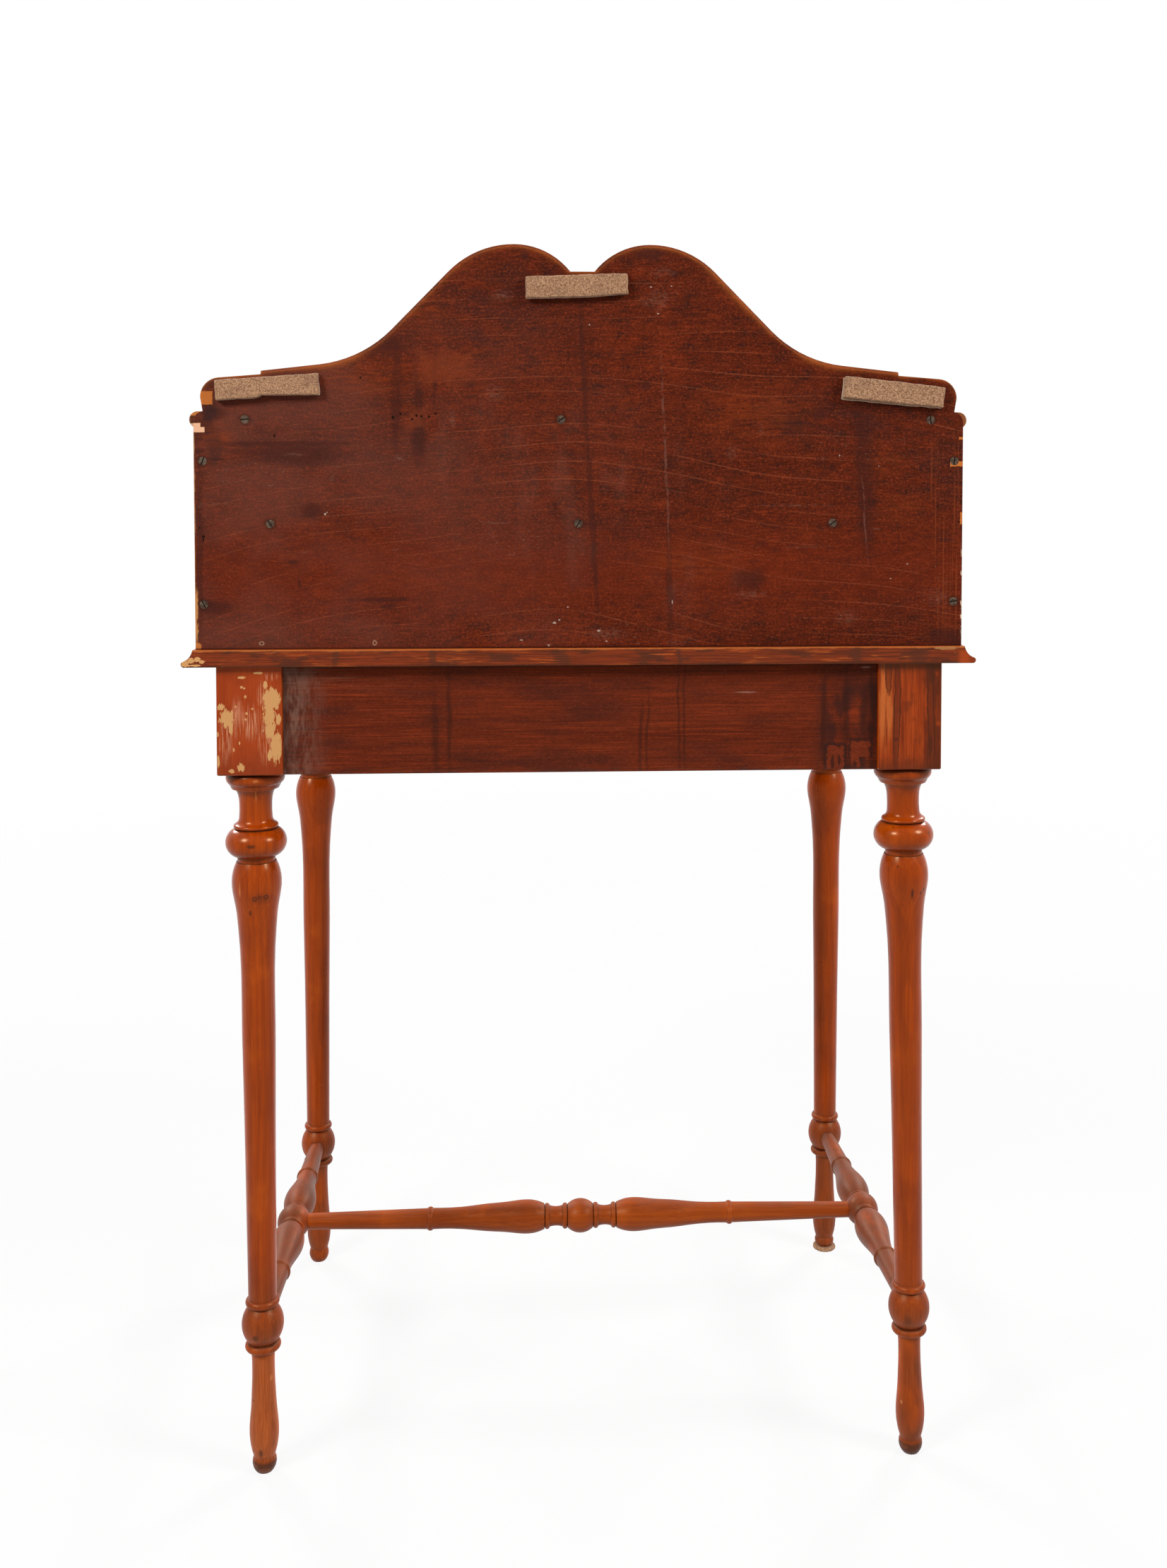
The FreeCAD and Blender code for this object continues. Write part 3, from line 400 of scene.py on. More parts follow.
def rear_leg(name, pith):
    """Polished rear leg on a dark end-grain peg. Also gives its rear half and the face of its block."""
    leg = polished(name, "z", pith)
    peg = leg.z.step(PEG_TOP + 1.5, PEG_TOP - 1.5)
    leg.paint((64, 32, 24), peg * 0.8)
    leg.marks((112, 58, 36), PEG_CHIPS, 0.7, ragged=0.6)
    leg.gloss(0.45, peg)
    rear = leg.y.step(REAR_LEG_Y, REAR_LEG_Y + 5)
    block = leg.facing("Y", 1) * leg.z.step(BLOCK_BOTTOM - 0.5, BLOCK_BOTTOM + 0.5)
    return leg, rear, block


def rear_right_leg():
    """Leg whose block has lost much of its varnish, down to tan bare wood."""
    leg, rear, block = rear_leg("rear_right_leg_polish", (385, 230))
    pale_club = leg.mix(leg.tone, (134, 57, 20), (188, 94, 42))
    leg.paint(pale_club, leg.z.band(PEG_TOP + 3, 108, 4) * 0.9)
    ring_marks = ((289.4, 528, 2.1, 2.3), (285.2, 529.4, 1.6, 1.7), (280, 529, 2.1, 2.2))
    leg.paint((66, 22, 12), leg.hoops(ring_marks, 0.45, ragged=0.2) * rear * 0.8)
    leg.marks((84, 30, 12), ((285, 527.5, 9, 4.5),), rear * 0.4, soft=0.6)
    smudges = ((291.5, 576, 3.4, 1.7), (293.8, 515, 1.2, 2.4), (293, 130.3, 2.4, 2.6),
               (290, 21, 1.9, 3.6), (297, 68, 1, 0.8))
    leg.marks((58, 24, 12), smudges, rear * 0.75, ragged=0.5, soft=0.5)
    scuffs = ((303, 535, 0.8, 5), (288.5, 618, 0.5, 5), (287, 633.5, 2.4, 1.5), (281, 88, 0.9, 3))
    leg.marks((208, 132, 74), scuffs, rear * 0.45, ragged=0.9, soft=0.4)

    leg.paint(leg.mix(leg.tone, (144, 47, 12), (170, 66, 23)), block)
    streaky = leg.noise((14, 26), seed=24).step(0.48, 0.68)
    leg.paint((136, 46, 16), streaky * block * 0.6)
    leg.paint((118, 40, 18), leg.z.step(BLOCK_BOTTOM + 29, BLOCK_BOTTOM + 1) * block * 0.55)
    scraped = ((312, 671, 5.5, 15), (290, 686, 8, 12), (277, 671, 5.5, 16), (280.6, 711, 3.4, 9),
               (302, 690, 4, 14), (273, 726, 5, 3))
    threads = leg.noise((0.9, 6, 26), 4, seed=21).step(0.46, 0.6)
    leg.marks((216, 150, 112), scraped, threads * block * 0.7, soft=0.7)
    bare = ((271.6, 706.5, 7.2, 9.6), (277.2, 719, 2, 3.4), (274, 692.5, 5.4, 10), (266, 688, 2, 5),
            (273.3, 679, 4.6, 7), (268.2, 664.6, 4.8, 13), (273.5, 657.5, 2.4, 4.4), (311, 690, 5.8, 7.4),
            (315.8, 700, 3, 3), (307.4, 682, 1.8, 6), (318.6, 676, 0.9, 2.2), (318.5, 652, 1.3, 4.4),
            (297.8, 725.4, 3.4, 1), (283.6, 729.4, 4.2, 1.1), (298.8, 646.8, 2.8, 4.4),
            (307.4, 643.4, 2.2, 1.7))
    tan = leg.flakes(bare, grain=UPRIGHT_FRAY)
    dots = ((297.8, 717, 1.2, 1.2), (295.5, 716, 0.9, 0.9), (294.6, 708.6, 1, 1.4), (277, 721, 1.2, 1),
            (288.6, 698, 0.9, 0.9), (293.6, 694, 1, 1.2), (294.4, 688.7, 0.9, 1), (303, 700, 0.8, 1),
            (300, 668, 0.7, 1.5), (305, 662, 0.7, 1.8))
    tan = tan.max(leg.ovals(dots, ragged=0.4, grain=1.5))
    leg.paint(BARE_TAN, tan * block * 0.95)
    leg.gloss(0.7, tan * block)
    return finish_polish(leg)


def rear_left_leg():
    """Leg whose block has streaks and drips of dark stain over upright grain."""
    leg, rear, block = rear_leg("rear_left_leg_polish", (-301, 118))
    smudges = ((-296.7, 525, 1.3, 4.6), (-305, 525, 0.9, 1.4), (-308.3, 527.5, 0.8, 1.8),
               (-311.6, 580, 0.7, 0.7), (-279.3, 585, 0.6, 0.6), (-283.7, 549.5, 0.8, 0.9),
               (-290, 15, 1.5, 1.7))
    leg.marks((54, 22, 12), smudges, rear * 0.8, ragged=0.5, soft=0.4)
    leg.marks((80, 38, 20), ((-296, 131, 3.6, 4.8),), rear * 0.6, ragged=0.4, soft=0.8)
    scratches = ((-287, 71, 0.4, 6), (-288.6, 26, 0.4, 4), (-293, 50, 0.7, 1.5))
    leg.marks((214, 150, 96), scratches, rear * 0.45, ragged=0.6, soft=0.4)

    fine = leg.noise((0.8, 30, 70), seed=31)
    upright = (fine * 0.4 + leg.noise((2.6, 30, 46), 4, seed=32) * 0.6).step(0.34, 0.66)
    leg.paint(leg.mix(upright, (114, 32, 6), (166, 63, 17)), block)
    blotches = leg.noise((11, 20, 18), 4, seed=33)
    leg.paint((96, 29, 10), blotches.step(0.5, 0.68) * block * 0.55)
    pale_side = leg.ovals(((-267, 700, 7.5, 34), (-272, 690, 4, 20)), ragged=0.4, soft=0.6)
    leg.paint((194, 100, 46), pale_side * upright.step(0, 0.7) * block * 0.8)
    dark_side = leg.x.step(-300, -313) * (leg.z.step(700, 726) + leg.z.step(690, 650) + 0.8)
    leg.paint((70, 19, 9), dark_side.min(1) * blotches.step(0.28, 0.48) * block * 0.8)
    runs = ((-280.2, 742, -279, 632), (-271.8, 742, -271.8, 707), (-309, 742, -312, 632))
    trail = leg.streaks(tuple((*run, 3) for run in runs), wander=3, soft=0.16)
    heart = leg.streaks(tuple((*run, 2.1) for run in runs), wander=3, soft=0.2)
    leg.paint((104, 34, 12), trail * block * 0.75)
    leg.paint((56, 16, 8), trail * (1 - heart) * block * 0.9)
    bulbs = ((-278.8, 666.5, 2.3, 1.6), (-310, 662, 1.8, 9), (-311, 724, 3, 8))
    leg.marks((68, 22, 11), bulbs, block * 0.75, ragged=0.4, soft=0.4)
    leg.paint((84, 28, 14), leg.z.step(BLOCK_BOTTOM + 15, BLOCK_BOTTOM) * block * 0.65)
    # Painted shadow under the overhanging top, across the block's upper end
    leg.paint((84, 30, 16), leg.z.step(TOP_UNDERSIDE - 13, TOP_UNDERSIDE) * block * 0.6)
    arris = leg.x.step(-318.7, -319.5) * leg.fray(UPRIGHT_FRAY).step(-0.16, 0.02)
    leg.paint((150, 108, 72), arris * block * 0.7)
    return finish_polish(leg)


def desk_top_finish():
    """Polished top, with a worn, streaky square rear edge."""
    top = polished("desk_top_polish", "x", (10, 420), BROWN_DARK, BROWN_LIGHT)
    rear = top.facing("Y", 1)
    streaks = top.noise((40, 1), 5, seed=41).step(0.3, 0.7)
    top.paint(top.mix(streaks, (86, 29, 13), (136, 50, 21)), rear)
    dark = top.noise((26, 9), 5, seed=42).step(0.5, 0.62)
    top.paint((70, 30, 21), dark * rear * 0.75)
    worn = top.noise((42, 5), 6, 0.65, seed=43).step(0.54, 0.64)
    top.paint((182, 84, 32), worn * streaks.step(0.1, 0.7) * rear * 0.75)
    top.paint((80, 31, 20), top.x.step(-150, -260) * streaks.step(0.7, 0.2) * rear * 0.6)
    crossings = ((132, 752, 131, 734, 3.4), (-84, 752, -86, 734, 2.2), (24, 748, 12, 734, 5),
                 (-240, 752, -243, 734, 5), (-300, 752, -296, 734, 8), (215, 752, 216, 734, 3))
    top.paint((76, 33, 23), top.streaks(crossings, wander=4, ragged=0.5) * rear * 0.7)
    arris = (top.z + top.fray(22) * 3.4).step(BOARD_FOOT - 1.8, BOARD_FOOT - 0.6)
    top.paint((190, 104, 50), arris * top.y.step(234.5, 236.2) * 0.8)
    top.paint((62, 26, 16), top.z.step(TOP_UNDERSIDE + 3, TOP_UNDERSIDE + 0.2) * rear * 0.6)
    nose_chips = ((345.5, 739, 3.4, 3.4), (340, 741, 3.6, 2.4), (335, 742, 2.6, 2.2),
                  (331, 740, 2.2, 1.6), (338, 736.8, 6, 0.8))
    top.paint((214, 158, 98), top.flakes(nose_chips, grain=(5, 3)) * rear * 0.95)
    right_end = top.x.step(-331, -337) * rear
    top.paint((170, 66, 22), right_end * top.z.step(BOARD_FOOT - 1, BOARD_FOOT - 6) * 0.8)
    top.paint((124, 44, 16), top.x.step(-341, -345) * rear * 0.7)
    top.marks((176, 118, 70), ((-322, 748.5, 10, 1.6),), rear * 0.8, ragged=0.5)
    top.gloss(FLAT_GLOSS, top.facing("Z", 1))
    return finish_polish(top, rounding=0.7)


def cabinet_top_finish():
    """Polished cabinet top, its nosing stained dark at one rear end and rubbed to tan at the other."""
    board = polished("cabinet_top_polish", "x", (90, 700), BROWN_DARK, BROWN_LIGHT)
    rear = board.y.step(213, 218)
    right_end = board.x.step(BOARD_SIDE - 14, BOARD_SIDE - 12) * rear
    board.paint((78, 40, 28), right_end * 0.9)
    rubbed = board.panels(((322, 341.5, 953.6, 962),), ragged=1.2)
    board.paint((214, 132, 66), rubbed * right_end * 0.95)
    broken = board.panels(((331, 345, 940, 947),), ragged=0.3)
    board.paint(PINK_BARE, broken * right_end)
    board.paint((206, 138, 104), board.x.step(341.5, 342.8) * right_end * 0.6)
    left_end = board.x.step(10 - BOARD_SIDE, 8 - BOARD_SIDE) * rear
    board.paint((172, 104, 62), left_end * 0.85)
    board.gloss(FLAT_GLOSS, board.facing("Z", 1))
    return finish_polish(board, rounding=0.7)


def dull_stretcher():
    """Polished side stretchers under an old grey-brown film."""
    wood = polished("dull_stretcher_polish", "y", PITHS["y"])
    film = wood.noise((16, 40, 16), 4, seed=6).step(0.25, 0.6)
    wood.paint((84, 47, 33), film * 0.6)
    return finish_polish(wood)


# Stained wood of the back

SCREW_PLACES = ((292.9, 950.3), (18.9, 950.3), (-308, 950.3), (272, 859.5), (3.7, 859.5), (-221.1, 859.5),
                (329.5, 914), (329.5, 789.6), (-329.5, 914), (-329.5, 789.6))


def back_board_stain():
    """Ground of the board: dark red-brown stain, cloudy, with wavy grain and pale growth lines."""
    board = Finish("back_board_stain", 0.5)
    sway = (board.noise((170, 80), 1, seed=9) - 0.5) * 30
    board.grain("x", (76, 25, 12), (102, 38, 20), pores=0.3, bend=sway)
    clouds = board.noise((90, 60, 75), 5, 0.6, seed=3)
    board.shade(clouds, ((66, 27, 19), 0.5, 0.5, 0.72), ((112, 40, 18), 0.6, 0.46, 0.3))
    mottle = board.noise((20, 10), 6, 0.62, seed=13)
    board.shade(mottle, ((50, 24, 20), 0.72, 0.5, 0.66), ((130, 48, 22), 0.45, 0.47, 0.3))
    rise = (board.noise((330, 190), 1, seed=11) - 0.5) * 80
    years = board.math("FRACT", (board.z + board.x * board.x * 0.00025 + rise) / 15)
    shown = board.noise((150, 26), 2, seed=10).step(0.42, 0.62)
    board.paint((150, 74, 46), (years - 0.5).abs().step(0.045, 0.01) * shown * 0.5)
    shadows = ((255, 945, 110, 30), (200, 925, 80, 18), (235, 985, 60, 14), (330, 820, 14, 60),
               (-235, 955, 70, 22), (-320, 905, 22, 30), (-10, 850, 60, 20), (85, 1050, 80, 40))
    patchy = board.noise((34, 12), 5, 0.6, seed=20).step(0.32, 0.62)
    board.marks((64, 31, 26), shadows, patchy * 0.72, ragged=0.5, soft=0.8, grain=(26, 12))
    dashes = board.noise((14, 1.5), 4, 0.65, seed=21, bend=sway)
    board.shade(dashes, ((48, 22, 17), 0.62, 0.52, 0.66), ((138, 54, 28), 0.46, 0.46, 0.32))
    tooth = board.noise((2.2, 1.8), roughness=0.65, seed=23)
    board.shade(tooth, ((42, 19, 15), 0.6, 0.5, 0.68), ((146, 62, 34), 0.52, 0.48, 0.3))
    dull = board.x.step(-160, 320) * board.z.step(1075, 965)
    cloudy = board.noise((120, 90), seed=14).step(0.3, 0.6)
    board.paint((114, 64, 52), dull * cloudy * 0.45)
    red_band = board.z.band(785, 850, 30)
    board.paint((118, 40, 18), red_band * 0.3)
    return board


def mark_board(board):
    """Stains, scuffs, nail holes and scratches on the board's rear face, each at its place."""
    smears = ((250, 920, 42, 9), (262, 929, 58, 2.6), (325, 947, 5, 15), (318, 955, 9, 5),
              (185, 1015, 30, 9), (143, 935, 6, 22), (-322, 757, 17, 9), (170, 787, 7, 2.4),
              (175, 793, 26, 2), (252, 826, 4.5, 2.4), (247, 807, 1.2, 4), (-322, 844, 7, 1.8),
              (236, 871, 9, 7), (-209, 954, 6, 6), (-242, 955, 4, 4), (-145, 810, 14, 8),
              (-185, 945, 12, 8), (50, 1093, 3.5, 4), (-58, 1095, 14, 6), (332, 935, 4, 4),
              (332, 923, 5, 2), (318, 915.5, 9, 1.2), (318, 787, 14, 6), (97, 981, 6, 3),
              (-55, 980, 6, 3.5))
    board.marks((56, 27, 24), smears, 0.62, ragged=0.5, soft=0.55, grain=STAIN_FRAY)
    shoulder = ((322, 956, 6, 9), (324, 945, 4.5, 10), (327, 984, 10, 5), (319, 928, 6, 14))
    board.marks((46, 31, 31), shoulder, 0.7, ragged=0.6, soft=0.6, grain=5)
    streaks = ((161, 1015, 163, 925, 4.5), (146, 1000, 140, 925, 3.5), (2, 1065, -4, 925, 2.4),
               (-4, 935, -13, 780, 2.6), (-76, 850, -77.5, 755, 3), (-247, 962, -252, 830, 8),
               (332, 905, 333, 762, 3), (128, 1010, 130, 960, 2))
    board.paint((58, 27, 23), board.streaks(streaks, wander=7) * 0.55)
    grey_lines = ((-69, 1000, -76, 846, 1.1), (-247, 900, -252, 832, 0.7))
    dashed = board.noise((3, 7), seed=15).step(0.36, 0.56)
    board.paint((134, 92, 78), board.streaks(grey_lines, wander=4) * dashed * 0.32)
    glows = ((318, 937, 13, 12), (-270, 912, 16, 8), (-282, 873, 16, 11), (-150, 955, 40, 22),
             (225, 797, 9, 3), (110, 1088, 22, 12), (140, 1045, 20, 14), (14, 900.5, 5, 1.5),
             (-100, 825, 40, 14), (190, 985, 34, 12))
    fibrous = board.noise((26, 3), seed=16).step(0.3, 0.7)
    board.marks((150, 64, 26), glows, fibrous * 0.3, ragged=0.5, soft=0.8, grain=STAIN_FRAY)
    squares = ((97, 143, 983, 1007), (138, 152, 944, 958))
    board.paint((132, 58, 32), board.panels(squares, ragged=14, soft=7, grain=STAIN_FRAY) * 0.45)
    brushed = board.noise((1.5, 30, 120), 2, seed=17).step(0.52, 0.72)
    board.paint((150, 70, 36), brushed * board.x.step(-290, -308) * board.z.band(770, 940, 25) * 0.4)

    scuffs = ((250, 919.5, 8, 1.4), (243, 835, 3.2, 1), (160, 917, 4, 2.6), (218, 900, 1.6, 4),
              (272, 893, 3, 1.4), (213, 909.3, 4, 0.5), (163, 837, 4, 0.7), (75, 860.2, 11, 0.8),
              (62, 832, 3, 0.8), (107, 828.5, 1.4, 0.7), (-185, 875, 26, 1), (-195, 838, 12, 0.9),
              (-259, 854, 4, 0.8), (-285, 933, 2, 0.5), (-157, 941, 1.8, 4), (-315, 793, 8, 5),
              (-148, 796, 10, 3), (-233, 776, 8, 5), (77, 973, 6, 6), (70, 1058, 8, 3.5),
              (-65, 1055, 10, 6), (-70, 1079, 8, 3), (113, 950, 2, 6), (-22, 762, 12, 4),
              (-82, 753, 6, 3), (-131, 921, 3, 6), (320, 877, 12, 0.7), (332, 876, 2.4, 2))
    dusty = board.noise((5, 1.4), 4, seed=18).step(0.4, 0.66)
    board.marks((158, 118, 100), scuffs, dusty * 0.2, ragged=1.2, soft=0.9)
    dust = board.ovals(((20, 880, 120, 70), (-40, 820, 90, 50), (60, 940, 90, 45)), soft=0.8)
    cloth_wipe = board.noise((26, 70), 4, seed=19).step(0.5, 0.75)
    board.paint((150, 110, 96), dust * cloth_wipe * 0.08)
    specks = ((224.3, 868, 0.8, 0.9), (222.5, 869.6, 0.5, 0.5), (25, 772, 1.4, 0.8),
              (20.5, 774.5, 0.8, 0.7), (-14, 765, 1.2, 0.8), (30, 752.5, 1, 0.8), (54, 757, 1.2, 0.4),
              (-21, 755.6, 0.9, 0.5), (13, 786, 0.5, 0.7), (-60, 1066, 0.9, 0.5), (-78, 1067, 0.6, 0.5),
              (-66, 1043, 0.9, 0.4), (-6, 1033, 0.6, 0.6), (-79, 790, 0.5, 1.4), (-227, 919, 0.5, 0.7),
              (-262, 909.7, 0.5, 0.5), (-288, 823, 0.6, 0.6), (-273, 810, 0.5, 0.5))
    board.marks((214, 188, 166), specks, 0.6, ragged=1.3, soft=0.4, grain=1.2)
    flecked = ((15, 764, 62, 15), (-40, 757, 50, 9), (-68, 1060, 22, 24), (-79, 788, 7, 16),
               (-250, 925, 60, 12), (290, 905, 34, 10), (70, 845, 50, 14), (-312, 800, 20, 22))
    flecks = board.noise((2.6, 1.7), 5, 0.8, seed=25).step(0.62, 0.7)
    board.marks((196, 160, 136), flecked, flecks * 0.6, ragged=0.4, soft=0.8, grain=STAIN_FRAY)
    rings = ((280, 755.3, 2.4, 1.9), (182, 755.3, 1.9, 2.4))
    board.paint((176, 138, 110), board.hoops(rings, 0.55) * 0.7)
    holes = ((165, 952, 1.1, 1.2), (158.5, 955.2, 0.9, 1), (148.5, 950.5, 1, 0.9),
             (144.8, 953.6, 0.9, 1.3), (140.5, 953, 1, 1), (134, 952.8, 1, 0.9), (128.2, 955.2, 1, 0.9),
             (267.5, 936, 0.8, 1.4), (329.2, 848.5, 1.3, 1), (329.4, 846.2, 0.5, 2.4),
             (332.5, 856.2, 0.8, 0.6), (193, 986.5, 0.8, 0.8), (-333.5, 860, 0.8, 0.9),
             (-230, 975, 0.5, 1))
    punched = board.ovals(holes, ragged=0.25, grain=1.5)
    board.paint((20, 10, 8), punched * 0.95)
    board.raise_by(punched * -0.6)
    halos = tuple((x, z, 5.6, 5.4) for x, z in SCREW_PLACES)
    board.marks((40, 19, 15), halos, 0.45, ragged=0.4, soft=0.35, grain=3)


def wear_board_outline(board):
    """Stain rubbed to orange and bare wood along the board's outline, and a painted shadow line along its
    foot.
    """
    crest = board.z.step(955, 985)
    reach = board.noise((40, 30), seed=22).step(0.25, 0.65)
    board.paint((172, 88, 38), board.edges(9) * crest * reach * 0.75)
    board.paint((205, 122, 62), board.edges(2.5) * crest * 0.55)
    slope = board.ovals(((-133, 1062, 34, 26), (-215, 998, 30, 10), (215, 999, 40, 9)), soft=0.5)
    board.paint((184, 96, 42), board.edges(13) * slope * 0.6)
    left_arris = (board.x + board.fray((5, 14)) * 3.4).step(336, 336.8)
    rear_edge = board.y.step(BACK_FACE - 5, BACK_FACE - 1.5)
    board.paint((184, 124, 76), left_arris * rear_edge * board.z.step(950, 930) * 0.7)
    wide_arris = (board.x + board.fray((4, 9)) * 5).step(334.4, 335.6) * board.z.band(758, 800, 6)
    board.paint((204, 140, 82), wide_arris * rear_edge * 0.85)
    board.marks((206, 124, 62), ((335, 753, 3.2, 3.4),), 0.85, ragged=0.6)
    chips = ((-338.5, -333.5, 933.2, 935.4), (-338.5, -326, 909.5, 914), (-338.5, -335, 858, 869))
    board.paint(RAW_ORANGE, board.panels(chips, ragged=1.2, soft=0.3, grain=3) * rear_edge * 0.9)
    right_arris = board.x.step(-335.3, -336.3) * board.z.band(765, 835, 10)
    nicks = right_arris * board.fray((3, 6)).step(0.02, 0.1)
    board.paint((232, 196, 160), nicks * rear_edge * 0.85)
    bare_corner = board.panels(((320.5, 332, 963, 974.5),), ragged=0.8, soft=0.3)
    board.paint(RAW_ORANGE, bare_corner * rear_edge * 0.9)
    broken = board.panels(((331, 341, 943, 947), (327.5, 341, 939, 943.5)), ragged=0.3, soft=0.2)
    board.paint(PINK_BARE, broken * rear_edge)
    # Painted shadow: dark line along the board's foot, where it meets the top
    board.paint((46, 20, 14), board.z.step(BOARD_FOOT + 2.2, BOARD_FOOT + 0.6) * 0.7)


def back_board_finish():
    """The board: stained behind, polished on the side that the sitter sees inside the cabinet."""
    board = back_board_stain()
    mark_board(board)
    wear_board_outline(board)
    front = board.facing("Y", -1)
    board.paint(board.mix(board.tone, (122, 48, 14), (164, 76, 26)), front)
    board.gloss(0.34, front)
    return board.done(0.8, 0.07, WARM_GLEAM)


def rear_rail_finish():
    """The same stain on the rear rail, with upright drips and darker ends."""
    rail = Finish("rear_rail_stain", 0.48)
    rail.grain("x", (84, 28, 14), (112, 43, 22), pores=0.3)
    clouds = rail.noise((90, 60, 22), 5, seed=6)
    rail.paint((62, 27, 22), clouds.step(0.46, 0.66) * 0.6)
    streaks = rail.noise((55, 60, 1.6), 5, seed=7)
    rail.paint((142, 54, 25), streaks.step(0.5, 0.68) * clouds.step(0.62, 0.4) * 0.6)
    rail.paint((56, 25, 20), streaks.step(0.46, 0.32) * 0.45)
    tooth = rail.noise((2.6, 1.6), roughness=0.65, seed=9)
    rail.shade(tooth, ((48, 21, 16), 0.42, 0.52, 0.72), ((140, 62, 36), 0.3, 0.46, 0.28))
    strokes = rail.noise((5, 17), 6, 0.7, seed=8.5).step(0.36, 0.64)
    rail.paint((66, 44, 38), rail.x.step(228, 262) * 0.6)
    rail.paint((142, 106, 90), rail.x.step(216, 262) * strokes * 0.52)
    hairs = rail.noise((40, 1.2), 4, seed=8).step(0.5, 0.68)
    rail.paint((150, 112, 94), rail.x.step(120, 235) * rail.z.step(700, 728) * hairs * 0.22)
    soaked = rail.noise((14, 26), 5, seed=11).step(0.4, 0.56)
    rail.paint((52, 26, 23), rail.x.step(-200, -222) * rail.z.step(726, 712) * soaked * 0.75)
    drips = ((131, 705, 129, 640, 3), (118, 730, 117, 640, 2), (-52, 700, -51, 636, 1.6),
             (-58, 705, -57, 640, 1.2), (-85, 740, -86, 636, 1), (-90.5, 740, -90, 636, 1),
             (-215, 722, -214, 640, 2), (-234.5, 726, -236, 640, 2.4), (-251, 715, -252, 668, 2.4),
             (-258, 735, -259, 640, 3))
    rail.paint((48, 22, 18), rail.streaks(drips, wander=6, soft=0.7) * 0.55)
    lifted = ((-233, -217.5, 639, 660), (-256, -239.5, 650, 664), (-247.5, -240, 640, 652))
    rim = tuple((low - 2.4, high + 2.4, foot, head + 3) for low, high, foot, head in lifted)
    rail.paint((42, 23, 22), rail.panels(rim, ragged=3, soft=1) * 0.65)
    bare = rail.panels(lifted, ragged=4.6, soft=0.6)
    rail.paint(rail.mix(tooth.step(0.35, 0.65), (114, 42, 20), (136, 54, 27)), bare * 0.65)
    pools = ((-223, 646, 1.6, 6), (-229, 647, 1.3, 5), (-243, 643, 1.8, 4))
    rail.marks((44, 22, 20), pools, 0.75, ragged=0.5)
    glow = ((-243, 690, 4, 15),)
    rail.marks((140, 52, 25), glow, streaks.step(0.3, 0.6) * 0.45, ragged=0.9, soft=0.8)
    # Painted shadow: dark band along the rail's top, under the overhanging top
    rail.paint((34, 16, 13), rail.z.step(TOP_UNDERSIDE - 4, TOP_UNDERSIDE - 0.5) * 0.75)
    foot = rail.z.step(BLOCK_BOTTOM + 5, BLOCK_BOTTOM)
    rail.paint((70, 50, 44), foot * rail.fray((9, 3)).step(-0.1, 0.15) * 0.5)
    scuffs = ((-145, 709, 8, 0.8), (-253, 730.5, 4, 1))
    rail.marks((168, 132, 116), scuffs, 0.35, ragged=0.7, soft=0.5)
    front = rail.facing("Y", -1)
    rail.paint(rail.mix(rail.tone, (150, 108, 66), (200, 160, 110)), front)
    return rail.done(0.6, 0.1, WARM_GLEAM)


# Other finishes

def pale_wood(name, axis):
    """Plain unfinished wood of drawer linings and hidden carcass pieces."""
    wood = Finish(name, 0.78)
    wood.grain(axis, (150, 108, 66), (205, 165, 114), pores=0.35)
    stain = wood.noise(60, seed=3).step(0.5, 0.8)
    wood.paint((122, 82, 48), stain * 0.45)
    wood.paint((110, 72, 42), wood.edges(2) * 0.35)
    # Painted shade in inner corners and grooves
    wood.paint((70, 45, 28), wood.hollows(5) * 0.5)
    wood.raise_by(wood.noise(along(axis, 40, 2), seed=4) * 0.1)
    return wood.done(0.5, 0.2)


def felt_finish():
    """Speckled pinkish grey-brown wool felt."""
    felt = Finish("wool_felt", 0.95)
    flecks = felt.noise(1.3, 4, 0.75)
    felt.colour = felt.mix(flecks.step(0.3, 0.7), (106, 66, 42), (206, 160, 122))
    fibres = felt.noise((3.6, 0.7, 0.6), 2, seed=2)
    felt.shade(fibres, ((86, 54, 40), 0.6, 0.58, 0.74), ((220, 182, 152), 0.5, 0.4, 0.26))
    clouds = felt.noise((14, 10), seed=4)
    felt.paint((120, 84, 64), clouds.step(0.5, 0.75) * 0.35)
    felt.paint((196, 176, 152), felt.y.step(BACK_FACE + 2, BACK_FACE + 1.2) * felt.z.step(30, 60) * 0.6)
    felt.raise_by(flecks * 0.5 + fibres * 0.2)
    return felt.done(0.4, 0.08, {"Sheen Weight": 0.2, "Sheen Roughness": 0.5})


def leather_finish():
    """Dark brown writing leather with two gilt lines inside its edge."""
    leather = Finish("writing_leather", 0.46)
    pebbles = leather.noise(1.6)
    clouds = leather.noise(70, seed=2)
    leather.colour = leather.mix(clouds.step(0.3, 0.7), (66, 36, 24), (94, 56, 38))
    leather.paint((42, 24, 17), pebbles.step(0.55, 0.75) * 0.5)
    rubbed = leather.noise((90, 60, 60), 4, seed=5).step(0.55, 0.75)
    leather.paint((128, 86, 60), rubbed * 0.3)
    low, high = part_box("writing_leather")
    middle = (Vector(low) + Vector(high)) / 2 / MM
    half = (Vector(high) - Vector(low)) / 2 / MM
    inset = (half.x - (leather.x - middle.x).abs()).min(half.y - (leather.y - middle.y).abs())
    gilt = (inset - 12).abs().step(1.1, 0.8).max((inset - 16).abs().step(0.5, 0.3))
    worn = leather.noise(7, 4, seed=6).step(0.32, 0.5)
    gilt = gilt * worn
    leather.paint((196, 152, 78), gilt * 0.9)
    leather.gloss(0.32, gilt)
    leather.raise_by(pebbles * 0.12 - gilt * 0.08)
    return leather.done(0.5, 0.3)


